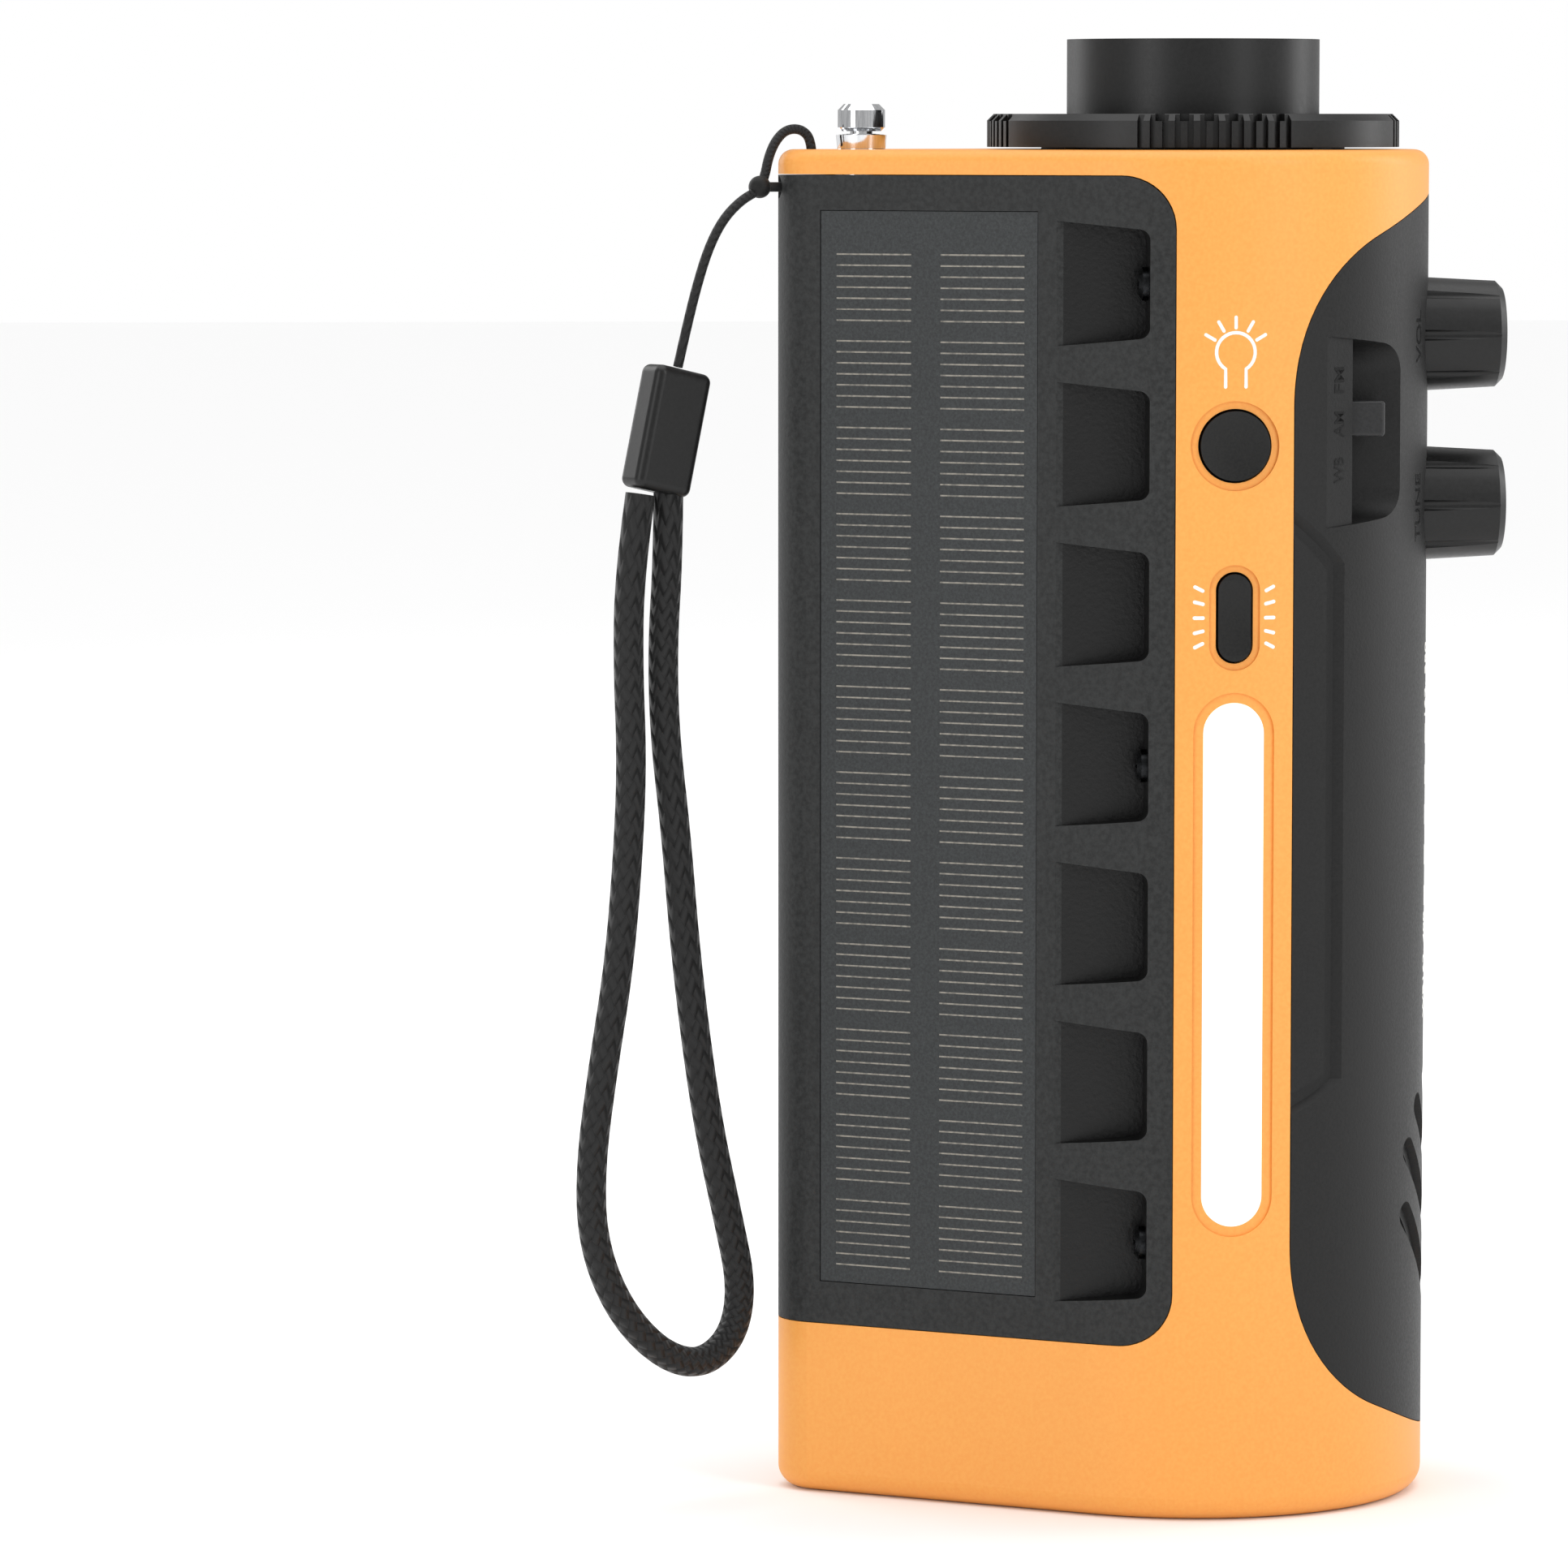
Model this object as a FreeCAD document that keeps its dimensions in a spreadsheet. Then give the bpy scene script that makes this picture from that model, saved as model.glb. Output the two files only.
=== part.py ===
import FreeCAD, Part
import math
import os

import Sketcher
from FreeCAD import Placement, Rotation, Vector

# Emergency torch with a radio, a hand crank, a solar panel and a reading lamp, in millimetres.
# +Z is up and the origin is the torch's axis on the base plane. The knobs face -Y, the reading
# lamp faces -X, the crank is on the flat that faces +X, and the aerial stands in the narrow nose at +Y.
# The case is a teardrop in plan: a round lobe, a small nose, and two flats that touch both.

SIZES = [
    ("lobe_radius", 31.5, "round lobe of the case, in plan"),
    ("nose_radius", 7.0, "nose of the case, in plan"),
    ("nose_offset", 48.5, "lobe centre to nose centre"),
    ("case_height", 180.0, "base to top face"),
    ("wall", 2.2, "side wall"),
    ("floor_plate", 2.6, "bottom plate"),
    ("top_plate", 3.0, "top plate"),
    ("foot_round", 3.0, "rounding of the bottom edge"),
    ("rim_round", 2.0, "rounding of the top edge"),
    ("seam", 0.12, "parting gap between a cover and the shell"),
    ("gap", 0.3, "clearance between parts that move past each other"),
    ("fit", 0.1, "radial clearance of a running fit"),
    ("front_edge", 10.25, "front cover's side edge, in front of the torch's axis"),
    ("front_top", 174.3, "highest point of the front cover"),
    ("front_foot", 8.6, "lowest point of the front cover"),
    ("front_bow", 48.0, "radius of the front cover's bowed ends"),
    ("front_half", 30.6, "half width of what the front cover takes out"),
    ("front_corner", 12.0, "front cover's corner rounding"),
    ("rear_edge", 5.56, "rear cover's front edge, behind the torch's axis"),
    ("rear_foot", 23.2, "bottom of the rear cover"),
    ("rear_top", 176.6, "top of the rear cover"),
    ("rear_corner", 7.0, "rear cover's corner rounding"),
    ("pocket_floor", 24.5, "screw pocket's floor from the middle plane"),
    ("pocket_end", 8.8, "screw pocket's end wall behind the torch's axis"),
    ("pocket_top", 162.6, "centre of the highest pocket"),
    ("pocket_pitch", 21.0, "pocket to pocket"),
    ("pocket_half", 7.0, "half height of a pocket at its end wall"),
    ("pocket_flare", 1.4, "how much more it is where it runs out"),
    ("pocket_wall", 1.5, "wall behind a pocket"),
    ("screw_head", 2.2, "radius of a cover screw's head"),
    ("screw_shank", 1.1, "radius of a cover screw's shank"),
    ("screw_offset", 27.2, "cover screws from the middle plane"),
    ("panel_start", 8.1, "solar panel's front edge along its flat"),
    ("panel_width", 31.7, "solar panel along its flat"),
    ("panel_foot", 28.9, "bottom of the solar panel"),
    ("panel_height", 143.0, "height of the solar panel"),
    ("panel_thick", 1.1, "thickness of the solar panel"),
    ("knob_radius", 7.7, "knob at its base"),
    ("knob_tip", 7.1, "knob at its face"),
    ("knob_proud", 10.2, "knob's face in front of the case"),
    ("knob_x", 0.4, "knobs beside the middle plane"),
    ("volume_z", 155.3, "volume knob's height"),
    ("tuning_z", 132.6, "tuning knob's height"),
    ("shaft", 3.0, "radius of a knob's shaft"),
    ("well_radius", 9.35, "round well behind a knob"),
    ("well_floor", 29.4, "well's floor in front of the torch's axis"),
    ("notch_floor", 18.4, "side notch's floor in front of the torch's axis"),
    ("notch_inner", 18.3, "side notch's inner wall from the middle plane"),
    ("notch_z", 143.2, "side notch's middle height"),
    ("notch_half", 11.0, "half height of the notch at its inner wall"),
    ("notch_round", 4.0, "notch's inner corners"),
    ("inner_wall", 1.6, "wall behind a notch or a well"),
    ("band_x", 22.25, "band switch from the middle plane"),
    ("band_travel", 4.0, "band switch from FM to WB"),
    ("led_pitch", 5.1, "battery lights"),
    ("led_x", 20.7, "battery lights from the middle plane"),
    ("slot_x", 0.7, "dial slot beside the middle plane"),
    ("slot_width", 1.4, "dial slot"),
    ("slot_foot", 70.1, "bottom of the dial slot"),
    ("slot_length", 37.7, "height of the dial slot"),
    ("drum_radius", 6.7, "dial cord drum and its idler"),
    ("speaker_radius", 18.6, "speaker's rim"),
    ("speaker_z", 41.1, "speaker's height"),
    ("louvre_width", 3.5, "speaker recess"),
    ("louvre_pitch", 6.6, "speaker recess to speaker recess"),
    ("strip_y", -2.3, "lamp and buttons in front of the torch's axis"),
    ("lamp_width", 8.1, "reading lamp"),
    ("lamp_length", 69.0, "reading lamp"),
    ("lamp_z", 73.6, "reading lamp's middle height"),
    ("lamp_button", 4.55, "radius of the round lamp button"),
    ("lamp_button_z", 141.6, "round lamp button's height"),
    ("sos_width", 4.3, "alarm button"),
    ("sos_length", 11.4, "alarm button"),
    ("sos_z", 119.2, "alarm button's height"),
    ("button_travel", 0.6, "button travel"),
    ("ring_radius", 27.5, "focus ring"),
    ("ring_height", 4.4, "focus ring"),
    ("barrel_radius", 16.85, "torch barrel"),
    ("barrel_top", 194.6, "top of the torch barrel"),
    ("barrel_foot", 169.2, "bottom of the torch barrel"),
    ("barrel_travel", 8.0, "how far the barrel comes out"),
    ("tube_wall", 0.4, "wall of an aerial section"),
    ("aerial_radius", 3.5, "outside of the aerial's fixed tube"),
    ("aerial_y", 44.4, "aerial behind the torch's axis"),
    ("aerial_foot", 14.0, "bottom of the aerial's tube"),
    ("tip_radius", 3.15, "aerial's tip"),
    ("board_front", 14.0, "main board's face in front of the torch's axis"),
    ("board_thick", 1.6, "circuit boards"),
    ("cell_radius", 9.2, "battery cell"),
    ("cell_length", 65.0, "battery cell"),
    ("cell_foot", 10.2, "bottom of the cell"),
    ("cell_y", 20.0, "battery cell behind the torch's axis"),
    ("crank_along", 4.8, "crank's axis along its flat"),
    ("crank_z", 126.0, "crank's axis"),
    ("crank_reach", 65.2, "crank's axis to the middle of its foot"),
    ("crank_width", 15.0, "crank arm"),
    ("crank_thick", 4.0, "crank arm"),
    ("crank_lift", 0.4, "crank arm above its flat"),
    ("grip_radius", 3.5, "folding grip"),
    ("grip_length", 38.0, "folding grip"),
    ("hinge_z", 60.0, "folding grip's hinge"),
    ("crank_shaft", 3.0, "radius of the crank's shaft"),
    ("tooth_module", 0.5, "gear module"),
    ("crank_teeth", 60, "crank's gear"),
    ("wheel_teeth", 48, "compound gear's wheel"),
    ("pinion_teeth", 12, "both pinions"),
    ("gear_width", 3.0, "gears"),
    ("motor_radius", 12.0, "generator"),
    ("motor_length", 12.0, "generator"),
    ("usb_along", 12.0, "socket cover's near edge along its flat"),
    ("usb_size", 18.0, "socket cover, both ways"),
    ("usb_foot", 26.0, "bottom of the socket cover"),
    ("braid_radius", 2.0, "wrist cord"),
    ("thread_radius", 0.65, "thread that holds the wrist cord"),
    ("strap_lean", 0.55, "how far the cord leans to -X for each millimetre behind the nose"),
    ("strap_start", 54.0, "where that lean starts"),
]

doc = FreeCAD.newDocument("emergency_torch")
sheet = doc.addObject("Spreadsheet::Sheet", "Sizes")


class Size:
    """A length with its value and the sheet expression that gives it."""

    def __init__(self, value, text):
        self.value = float(value)
        self.text = text

    def __add__(self, other):
        other = as_size(other)
        return Size(self.value + other.value, f"({self.text} + {other.text})")

    def __sub__(self, other):
        other = as_size(other)
        return Size(self.value - other.value, f"({self.text} - {other.text})")

    def __mul__(self, other):
        other = as_size(other)
        return Size(self.value * other.value, f"({self.text} * {other.text})")

    def __truediv__(self, other):
        other = as_size(other)
        return Size(self.value / other.value, f"({self.text} / {other.text})")

    def __radd__(self, other):
        return as_size(other) + self

    def __rsub__(self, other):
        return as_size(other) - self

    def __rmul__(self, other):
        return as_size(other) * self

    def __neg__(self):
        return Size(-self.value, f"(-1 * {self.text})")


def as_size(number):
    return number if isinstance(number, Size) else Size(number, f"({float(number):.6f})")


class Sizes:
    """The sheet's cells, by their aliases."""


S = Sizes()
for row, (alias, number, note) in enumerate(SIZES, 1):
    sheet.set(f"A{row}", note)
    sheet.set(f"B{row}", str(number))
    sheet.setAlias(f"B{row}", alias)
    setattr(S, alias, Size(number, f"Sizes.{alias}"))
doc.recompute()

slant_sine = (S.lobe_radius - S.nose_radius) / S.nose_offset
FLAT = Size(math.degrees(math.asin(slant_sine.value)), f"(asin({slant_sine.text}) / 1 deg)")
LEFT = 90 - FLAT
RIGHT = FLAT - 90
UPRIGHT = Rotation()
AXES = {"x": Rotation(Vector(0, 1, 0), 90), "y": Rotation(Vector(1, 0, 0), -90), "z": UPRIGHT}
PARTS = []


def bind(thing, **values):
    for name, value in values.items():
        thing.setExpression(name, as_size(value).text)


def put(thing, x=0, y=0, z=0, turn=UPRIGHT):
    thing.Placement = Placement(Vector(*(as_size(a).value for a in (x, y, z))), turn)
    for axis, value in zip("xyz", (x, y, z)):
        thing.setExpression(f".Placement.Base.{axis}", as_size(value).text)
    return thing


def on_flat(thing, side):
    """Turns what was drawn with +Y outward onto the left or the right flat of the case."""
    turned = doc.addObject("Part::Compound", "Turned")
    turned.Links = [thing]
    turned.Placement = Placement(Vector(), Rotation(Vector(0, 0, 1), side.value))
    turned.setExpression(".Placement.Rotation.Angle", side.text)
    return turned


def box(x, y, z):
    """A box between pairs of places along each axis."""
    block = doc.addObject("Part::Box", "Box")
    bind(block, Length=x[1] - x[0], Width=y[1] - y[0], Height=z[1] - z[0])
    return put(block, x[0], y[0], z[0])


def along(axis, across, start):
    """A place on an axis: the two other coordinates in order, and where it starts."""
    place = list(across)
    place.insert("xyz".index(axis), start)
    return place


def rod(axis, across, radius, start, end):
    round_bar = doc.addObject("Part::Cylinder", "Rod")
    bind(round_bar, Radius=radius, Height=end - start)
    return put(round_bar, *along(axis, across, start), AXES[axis])


def cone(axis, across, first, last, start, end):
    taper = doc.addObject("Part::Cone", "Cone")
    bind(taper, Radius1=first, Radius2=last, Height=end - start)
    return put(taper, *along(axis, across, start), AXES[axis])


def ball(x, y, z, radius):
    round_ball = doc.addObject("Part::Sphere", "Ball")
    bind(round_ball, Radius=radius)
    return put(round_ball, x, y, z)


def fuse(*things):
    if len(things) == 1:
        return things[0]
    union = doc.addObject("Part::MultiFuse", "Union")
    union.Shapes = list(things)
    return union


def cut(base, *tools):
    rest = doc.addObject("Part::Cut", "Rest")
    rest.Base = base
    rest.Tool = fuse(*tools)
    return rest


def common(*things):
    shared = doc.addObject("Part::MultiCommon", "Shared")
    shared.Shapes = list(things)
    return shared


def tube(axis, across, outer, inner, start, end):
    return cut(rod(axis, across, outer, start, end), rod(axis, across, inner, start - 1, end + 1))


def rounded(base, radius, chosen):
    """The base with the edges rounded for which chosen(middle, length of each side of its box) holds."""
    doc.recompute()
    picked = []
    for number, edge in enumerate(base.Shape.Edges, 1):
        bounds = edge.BoundBox
        if chosen(bounds.Center, (bounds.XLength, bounds.YLength, bounds.ZLength)):
            picked.append((number, radius.value, radius.value))
    soft = doc.addObject("Part::Fillet", "Rounded")
    soft.Base = base
    soft.Edges = picked
    return soft


def pin_down(drawing, geometry, point, x, y):
    """Holds a point of a sketch at a place that comes from the sheet."""
    for kind, value in (("DistanceX", x), ("DistanceY", y)):
        value = as_size(value)
        number = drawing.addConstraint(Sketcher.Constraint(kind, -1, 1, geometry, point, value.value))
        drawing.setExpression(f"Constraints[{number}]", value.text)


def trace(drawing, points):
    """A closed outline of straight edges."""
    corners = [Vector(as_size(x).value, as_size(y).value, 0) for x, y in points]
    first = drawing.GeometryCount
    count = len(points)
    for i in range(count):
        drawing.addGeometry(Part.LineSegment(corners[i], corners[(i + 1) % count]))
    for i in range(count):
        following = first + (i + 1) % count
        drawing.addConstraint(Sketcher.Constraint("Coincident", first + i, 2, following, 1))
    for i, (x, y) in enumerate(points):
        pin_down(drawing, first + i, 1, x, y)


def circle(drawing, x, y, radius):
    middle = Vector(as_size(x).value, as_size(y).value, 0)
    ring = drawing.addGeometry(Part.Circle(middle, Vector(0, 0, 1), as_size(radius).value))
    pin_down(drawing, ring, 3, x, y)
    number = drawing.addConstraint(Sketcher.Constraint("Radius", ring, as_size(radius).value))
    drawing.setExpression(f"Constraints[{number}]", as_size(radius).text)


def extrude(drawing, length):
    solid = doc.addObject("Part::Extrusion", "Extrusion")
    solid.Base = drawing
    solid.DirMode = "Normal"
    solid.Solid = True
    bind(solid, LengthFwd=length)
    return solid


def sketch_up(z):
    """A loose sketch in a level plane: extruded, it rises."""
    return put(doc.addObject("Sketcher::SketchObject", "Plan"), z=z)


def sketch_front(y):
    """A loose sketch in an upright plane, X across and Z up: extruded, it goes towards -Y."""
    front = Rotation(Vector(1, 0, 0), 90)
    return put(doc.addObject("Sketcher::SketchObject", "Front"), y=y, turn=front)


def sketch_side(x):
    """A loose sketch in an upright plane, Y across and Z up: extruded, it goes towards +X."""
    side = Rotation(Vector(1, 1, 1), 120)
    return put(doc.addObject("Sketcher::SketchObject", "Side"), x=x, turn=side)


def teardrop(grow, start, end):
    """A solid of the case's plan, grown all round, between two heights."""
    drawing = sketch_up(start)
    lobe, nose = S.lobe_radius + grow, S.nose_radius + grow
    slant = math.radians(FLAT.value)
    offset = Vector(0, S.nose_offset.value, 0)
    up = Vector(0, 0, 1)

    def on_circle(middle, radius, angle):
        return middle + Vector(math.cos(angle), math.sin(angle), 0) * radius.value

    def arc(middle, radius, start_angle, end_angle):
        whole = Part.Circle(middle, up, radius.value)
        return drawing.addGeometry(Part.ArcOfCircle(whole, start_angle, end_angle))

    def line(angle, start_point, end_point):
        ends = [on_circle(*place, angle) for place in (start_point, end_point)]
        return drawing.addGeometry(Part.LineSegment(*ends))

    front, rear = (Vector(), lobe), (offset, nose)
    lobe_arc = arc(*front, math.pi - slant, 2 * math.pi + slant)
    right = line(slant, front, rear)
    nose_arc = arc(*rear, slant, math.pi - slant)
    left = line(math.pi - slant, rear, front)
    for one, other in ((lobe_arc, right), (right, nose_arc), (nose_arc, left), (left, lobe_arc)):
        drawing.addConstraint(Sketcher.Constraint("Tangent", one, 2, other, 1))
    drawing.addConstraint(Sketcher.Constraint("Coincident", lobe_arc, 3, -1, 1))
    drawing.addConstraint(Sketcher.Constraint("PointOnObject", nose_arc, 3, -2))
    for arc_number, radius in ((lobe_arc, lobe), (nose_arc, nose)):
        number = drawing.addConstraint(Sketcher.Constraint("Radius", arc_number, radius.value))
        drawing.setExpression(f"Constraints[{number}]", radius.text)
    distance = Sketcher.Constraint("DistanceY", -1, 1, nose_arc, 3, S.nose_offset.value)
    drawing.setExpression(f"Constraints[{drawing.addConstraint(distance)}]", S.nose_offset.text)
    return extrude(drawing, end - start)


def stadium(axis, across, width, length, start, end):
    """A slot-shaped bar along X or Y, its long side upright."""
    radius, half = width / 2, (length - width) / 2
    side, height = across
    ends = [rod(axis, (side, height + half * sign), radius, start, end) for sign in (-1, 1)]
    middle = [(side - radius, side + radius), (height - half, height + half)]
    middle.insert("xyz".index(axis), (start, end))
    return fuse(*ends, box(*middle))


def body(label):
    shape = doc.addObject("PartDesign::Body", "Body")
    shape.Label = label
    return shape


def plane_sketch(owner, role, name):
    drawing = owner.newObject("Sketcher::SketchObject", name)
    plane = next(thing for thing in owner.Origin.OriginFeatures if thing.Role == role)
    drawing.AttachmentSupport = [(plane, "")]
    drawing.MapMode = "FlatFace"
    return drawing


def revolve(owner, name, points):
    """A turned body: its half section has the radius across and the height up."""
    drawing = plane_sketch(owner, "XZ_Plane", name + "Section")
    trace(drawing, points)
    turned = owner.newObject("PartDesign::Revolution", name)
    turned.Profile = drawing
    turned.ReferenceAxis = (drawing, ["V_Axis"])
    turned.Angle = 360
    doc.recompute()
    return turned


def pattern(owner, feature, count):
    """The feature repeated all round the body's own upright axis."""
    axis = next(thing for thing in owner.Origin.OriginFeatures if thing.Role == "Z_Axis")
    repeat = owner.newObject("PartDesign::PolarPattern", "Pattern")
    repeat.Originals = [feature]
    repeat.Axis = (axis, [""])
    repeat.Angle = 360
    bind(repeat, Occurrences=count)
    owner.Tip = repeat
    doc.recompute()
    return repeat


def sub_part(label, thing):
    thing.Label = label
    PARTS.append((label, thing))
    return thing


# The case


def front_cutter(grow):
    """What the front cover takes out of the wall: bowed at both ends, its corners rounded."""
    edge = -S.front_edge + grow
    spans = (edge - S.lobe_radius, edge)
    half, bow = S.front_half + grow, S.front_bow
    low, high = S.front_foot + bow, S.front_top - bow
    discs = [rod("y", (0, height), bow + grow, *spans) for height in (low, high)]
    middle = box((-half, half), spans, (low, high))
    sides = box((-half, half), spans, (S.front_foot - 5, S.front_top + 5))

    def bowed(place, lengths):
        return lengths[0] > 40 and lengths[2] > 8 and place.y > edge.value - 0.01

    return rounded(common(fuse(*discs, middle), sides), S.front_corner + grow, bowed)


def rear_cutter(grow):
    reach = S.lobe_radius + 10
    behind = S.nose_offset + S.nose_radius + 10
    heights = (S.rear_foot - grow, S.rear_top + grow)
    whole = box((-reach, reach), (S.rear_edge - grow, behind), heights)

    def front_edges(place, spans):
        return spans[0] > 40 and place.y < S.rear_edge.value + 1

    return rounded(whole, S.rear_corner, front_edges)


def skin(depth):
    """The outermost layer of the case, for recesses that follow its surface."""
    return cut(teardrop(as_size(1), 4, 176), teardrop(-as_size(depth), 3, 177))


block = teardrop(as_size(0), 0, S.case_height)
foot_edges = rounded(block, S.foot_round, lambda place, spans: place.z < 0.01)
case_block = rounded(foot_edges, S.rim_round, lambda place, spans: place.z > S.case_height.value - 0.01)
cavity = teardrop(-S.wall, S.floor_plate, S.case_height - S.top_plate)
case_wall = cut(case_block, cavity)
hub_radius = S.barrel_radius + 3.4
inside_top = S.case_height - S.top_plate
carrier_top = S.barrel_foot - 2.9
post_places = [(math.cos(math.radians(a)) * 25, math.sin(math.radians(a)) * 25) for a in (45, 135, 225, 315)]
POCKETS_LEFT = range(7)
POCKETS_RIGHT = (0, 6)
SCREW_PLACES = [(-1, 0), (-1, 3), (-1, 6), (1, 0), (1, 6)]


def pocket_z(number):
    return S.pocket_top - S.pocket_pitch * number


def lamp_cutter(grow, start, end):
    width, length = S.lamp_width + 2 * grow, S.lamp_length + 2 * grow
    return stadium("x", (S.strip_y, S.lamp_z), width, length, start, end)


def sos_bar(grow, start, end):
    width, length = S.sos_width + 2 * grow, S.sos_length + 2 * grow
    return stadium("x", (S.strip_y, S.sos_z), width, length, start, end)


def lamp_button_bar(grow, start, end):
    return rod("x", (S.strip_y, S.lamp_button_z), S.lamp_button + grow, start, end)


def case_shell():
    openings = [front_cutter(S.seam), rear_cutter(S.seam)]
    posts = [rod("z", place, 2.2, carrier_top, inside_top + 0.5) for place in post_places]
    bosses = []
    for side, number in SCREW_PLACES:
        across = (side * S.screw_offset, pocket_z(number))
        end = S.pocket_end - S.pocket_wall
        bosses.append(rod("y", across, S.screw_shank + 1.2, end - 4.5, end))
    added = [*posts, common(fuse(*bosses), cavity)]
    outside, inside = -S.lobe_radius - 2, -S.lobe_radius + 7
    holes = [
        rod("z", (0, 0), hub_radius + S.gap, inside_top - 1, S.case_height + 1),
        rod("z", (0, S.aerial_y), S.aerial_radius, inside_top - 1, S.case_height + 1),
        rod("z", (0, S.nose_offset + 2.5), S.thread_radius + 0.35, inside_top - 1, S.case_height + 1),
        lamp_cutter(as_size(0), outside, inside),
        lamp_button_bar(S.gap, outside, inside),
        sos_bar(S.gap, outside, inside),
    ]
    for side, number in SCREW_PLACES:
        end = S.pocket_end - S.pocket_wall
        across = (side * S.screw_offset, pocket_z(number))
        holes.append(rod("y", across, S.screw_shank, end - 4.2, end + 1))
    for place in post_places:
        holes.append(rod("z", place, S.screw_shank, carrier_top - 1, carrier_top + 6))
    rims = [
        lamp_cutter(as_size(1.3), outside, inside),
        lamp_button_bar(as_size(1.3), outside, inside),
        sos_bar(as_size(1.2), outside, inside),
    ]
    recess = common(skin(0.35), fuse(*rims))
    return sub_part("case_shell", cut(fuse(cut(case_wall, *openings), *added), *holes, recess))


def notch_cutter(side, grow):
    """The wedge of a side notch: a floor that faces forward and walls that flare outward."""
    near, floor = S.notch_inner - grow, S.notch_floor - grow
    far = S.lobe_radius + 8
    flare = 3.4
    half = S.notch_half + grow
    elevation = sketch_front(0)
    low, high = S.notch_z - half, S.notch_z + half
    trace(elevation, [
        (side * near, low), (side * far, low - flare), (side * far, high + flare), (side * near, high),
    ])
    bar = extrude(elevation, 60)

    def inner(place, spans):
        return spans[1] > 50 and abs(place.x) < near.value + 0.01

    bar = rounded(bar, S.notch_round + grow, inner)
    plan = sketch_up(S.notch_z - 25)
    knee, shelf = 25.1, 27.8
    trace(plan, [
        (side * near, -floor), (side * near, -60), (side * far, -60), (side * far, -14.2 + grow),
        (side * shelf, -14.7 + grow), (side * knee, -floor),
    ])
    return common(bar, extrude(plan, 50))


def grip_groove(side):
    """A narrow groove along the grip, with slanting ends."""
    inner, outer, edge = 26.3, 27.8, 30.2
    drawing = sketch_front(0)
    trace(drawing, [
        (side * edge, 53.0), (side * inner, 58.0), (side * inner, 126.0), (side * edge, 134.0),
        (side * edge, 131.0), (side * outer, 125.2), (side * outer, 58.8), (side * edge, 56.0),
    ])
    return extrude(drawing, 40)


def louvres(width, front, back):
    """Slanting slot-shaped bars in front of the speaker, their ends on the speaker's rim."""
    bars = []
    lengths = (18.5, 29.5, 32.0, 29.0, 18.0)
    for number, length in enumerate(lengths):
        offset = (number - 2) * S.louvre_pitch
        half = as_size(length / 2)
        slope = math.sqrt(0.5)
        middle_x, middle_z = 0.5 + slope * offset, S.speaker_z + slope * offset
        corner = math.sqrt(0.5) * width / 2
        ends = [(middle_x + slope * half * sign, middle_z - slope * half * sign) for sign in (-1, 1)]
        drawing = sketch_front(-back)
        (left, top), (right, low) = ends
        trace(drawing, [
            (left - corner, top - corner), (right - corner, low - corner),
            (right + corner, low + corner), (left + corner, top + corner),
        ])
        bars.append(extrude(drawing, front - back))
        bars += [rod("y", place, width / 2, -front, -back) for place in ends]
    return bars


def knob_places():
    return [(S.knob_x, S.volume_z), (S.knob_x, S.tuning_z)]


def board_posts():
    return [(side * 20.0, height) for side in (-1, 1) for height in (67.0, 123.0)]


def led_places():
    return [(S.led_x, 136.9 + S.led_pitch * number) for number in range(4)]


def front_cover():
    lobe, well = S.lobe_radius, -S.well_floor
    added = [rod("y", place, S.well_radius + 2.4, -lobe, well + S.inner_wall) for place in knob_places()]
    seat = tube("y", (0.5, S.speaker_z), S.speaker_radius + 1.6, S.speaker_radius - 1.6, -lobe, -21.6)
    added += [seat]
    added += [rod("y", place, 2.5, -lobe + 3, -S.board_front) for place in board_posts()]
    added += [notch_cutter(side, S.inner_wall) for side in (-1, 1)]
    hollow = cut(cavity, *added)
    outer = -lobe - 10
    tools = [rod("y", place, S.well_radius, outer, well) for place in knob_places()]
    tools += [rod("y", place, S.shaft + S.gap, outer, well + 5) for place in knob_places()]
    tools += [notch_cutter(side, as_size(0)) for side in (-1, 1)]
    tools += [rod("y", place, 0.9, -17, -S.board_front + 1) for place in board_posts()]
    slot_top = S.slot_foot + S.slot_length
    slot_half = S.slot_width / 2
    tools += [box((S.slot_x - slot_half, S.slot_x + slot_half), (outer, -25), (S.slot_foot, slot_top))]
    tools += [box((-S.band_x - 1.95, -S.band_x + 1.95), (-20, -15), (137.8, 148.5))]
    tools += [rod("y", place, 1.05, -20, -15) for place in led_places()]
    tools += [stadium("y", (13.0, height), as_size(1.6), as_size(5), outer, -22) for height in (110.0, 79.0)]
    tools += louvres(as_size(1.0), 35, 22)
    bands = fuse(*louvres(S.louvre_width, 35, 10))
    tools += [common(skin(1.1), bands)]
    tools += [common(skin(0.8), fuse(*[grip_groove(side) for side in (-1, 1)]))]
    shape = cut(common(case_block, front_cutter(as_size(0))), hollow)
    return sub_part("front_cover", cut(shape, *tools))


def pocket(side, number, grow):
    """A screw pocket: its floor runs straight back until it leaves the flat."""
    middle, half = pocket_z(number), S.pocket_half + grow
    end = S.pocket_end - grow
    reach = 14.0
    drawing = sketch_side(S.pocket_floor - grow if side > 0 else -S.lobe_radius - 8)
    wide = half + S.pocket_flare
    trace(drawing, [
        (end, middle - half), (end + reach, middle - wide),
        (end + reach, middle + wide), (end, middle + half),
    ])
    bar = extrude(drawing, S.lobe_radius + 8 - S.pocket_floor + grow)

    def end_corners(place, spans):
        return spans[0] > 5 and place.y < end.value + 0.01

    return rounded(bar, as_size(1.5), end_corners)


def pockets(grow):
    places = [(-1, number) for number in POCKETS_LEFT] + [(1, number) for number in POCKETS_RIGHT]
    return [pocket(side, number, grow) for side, number in places]


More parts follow.
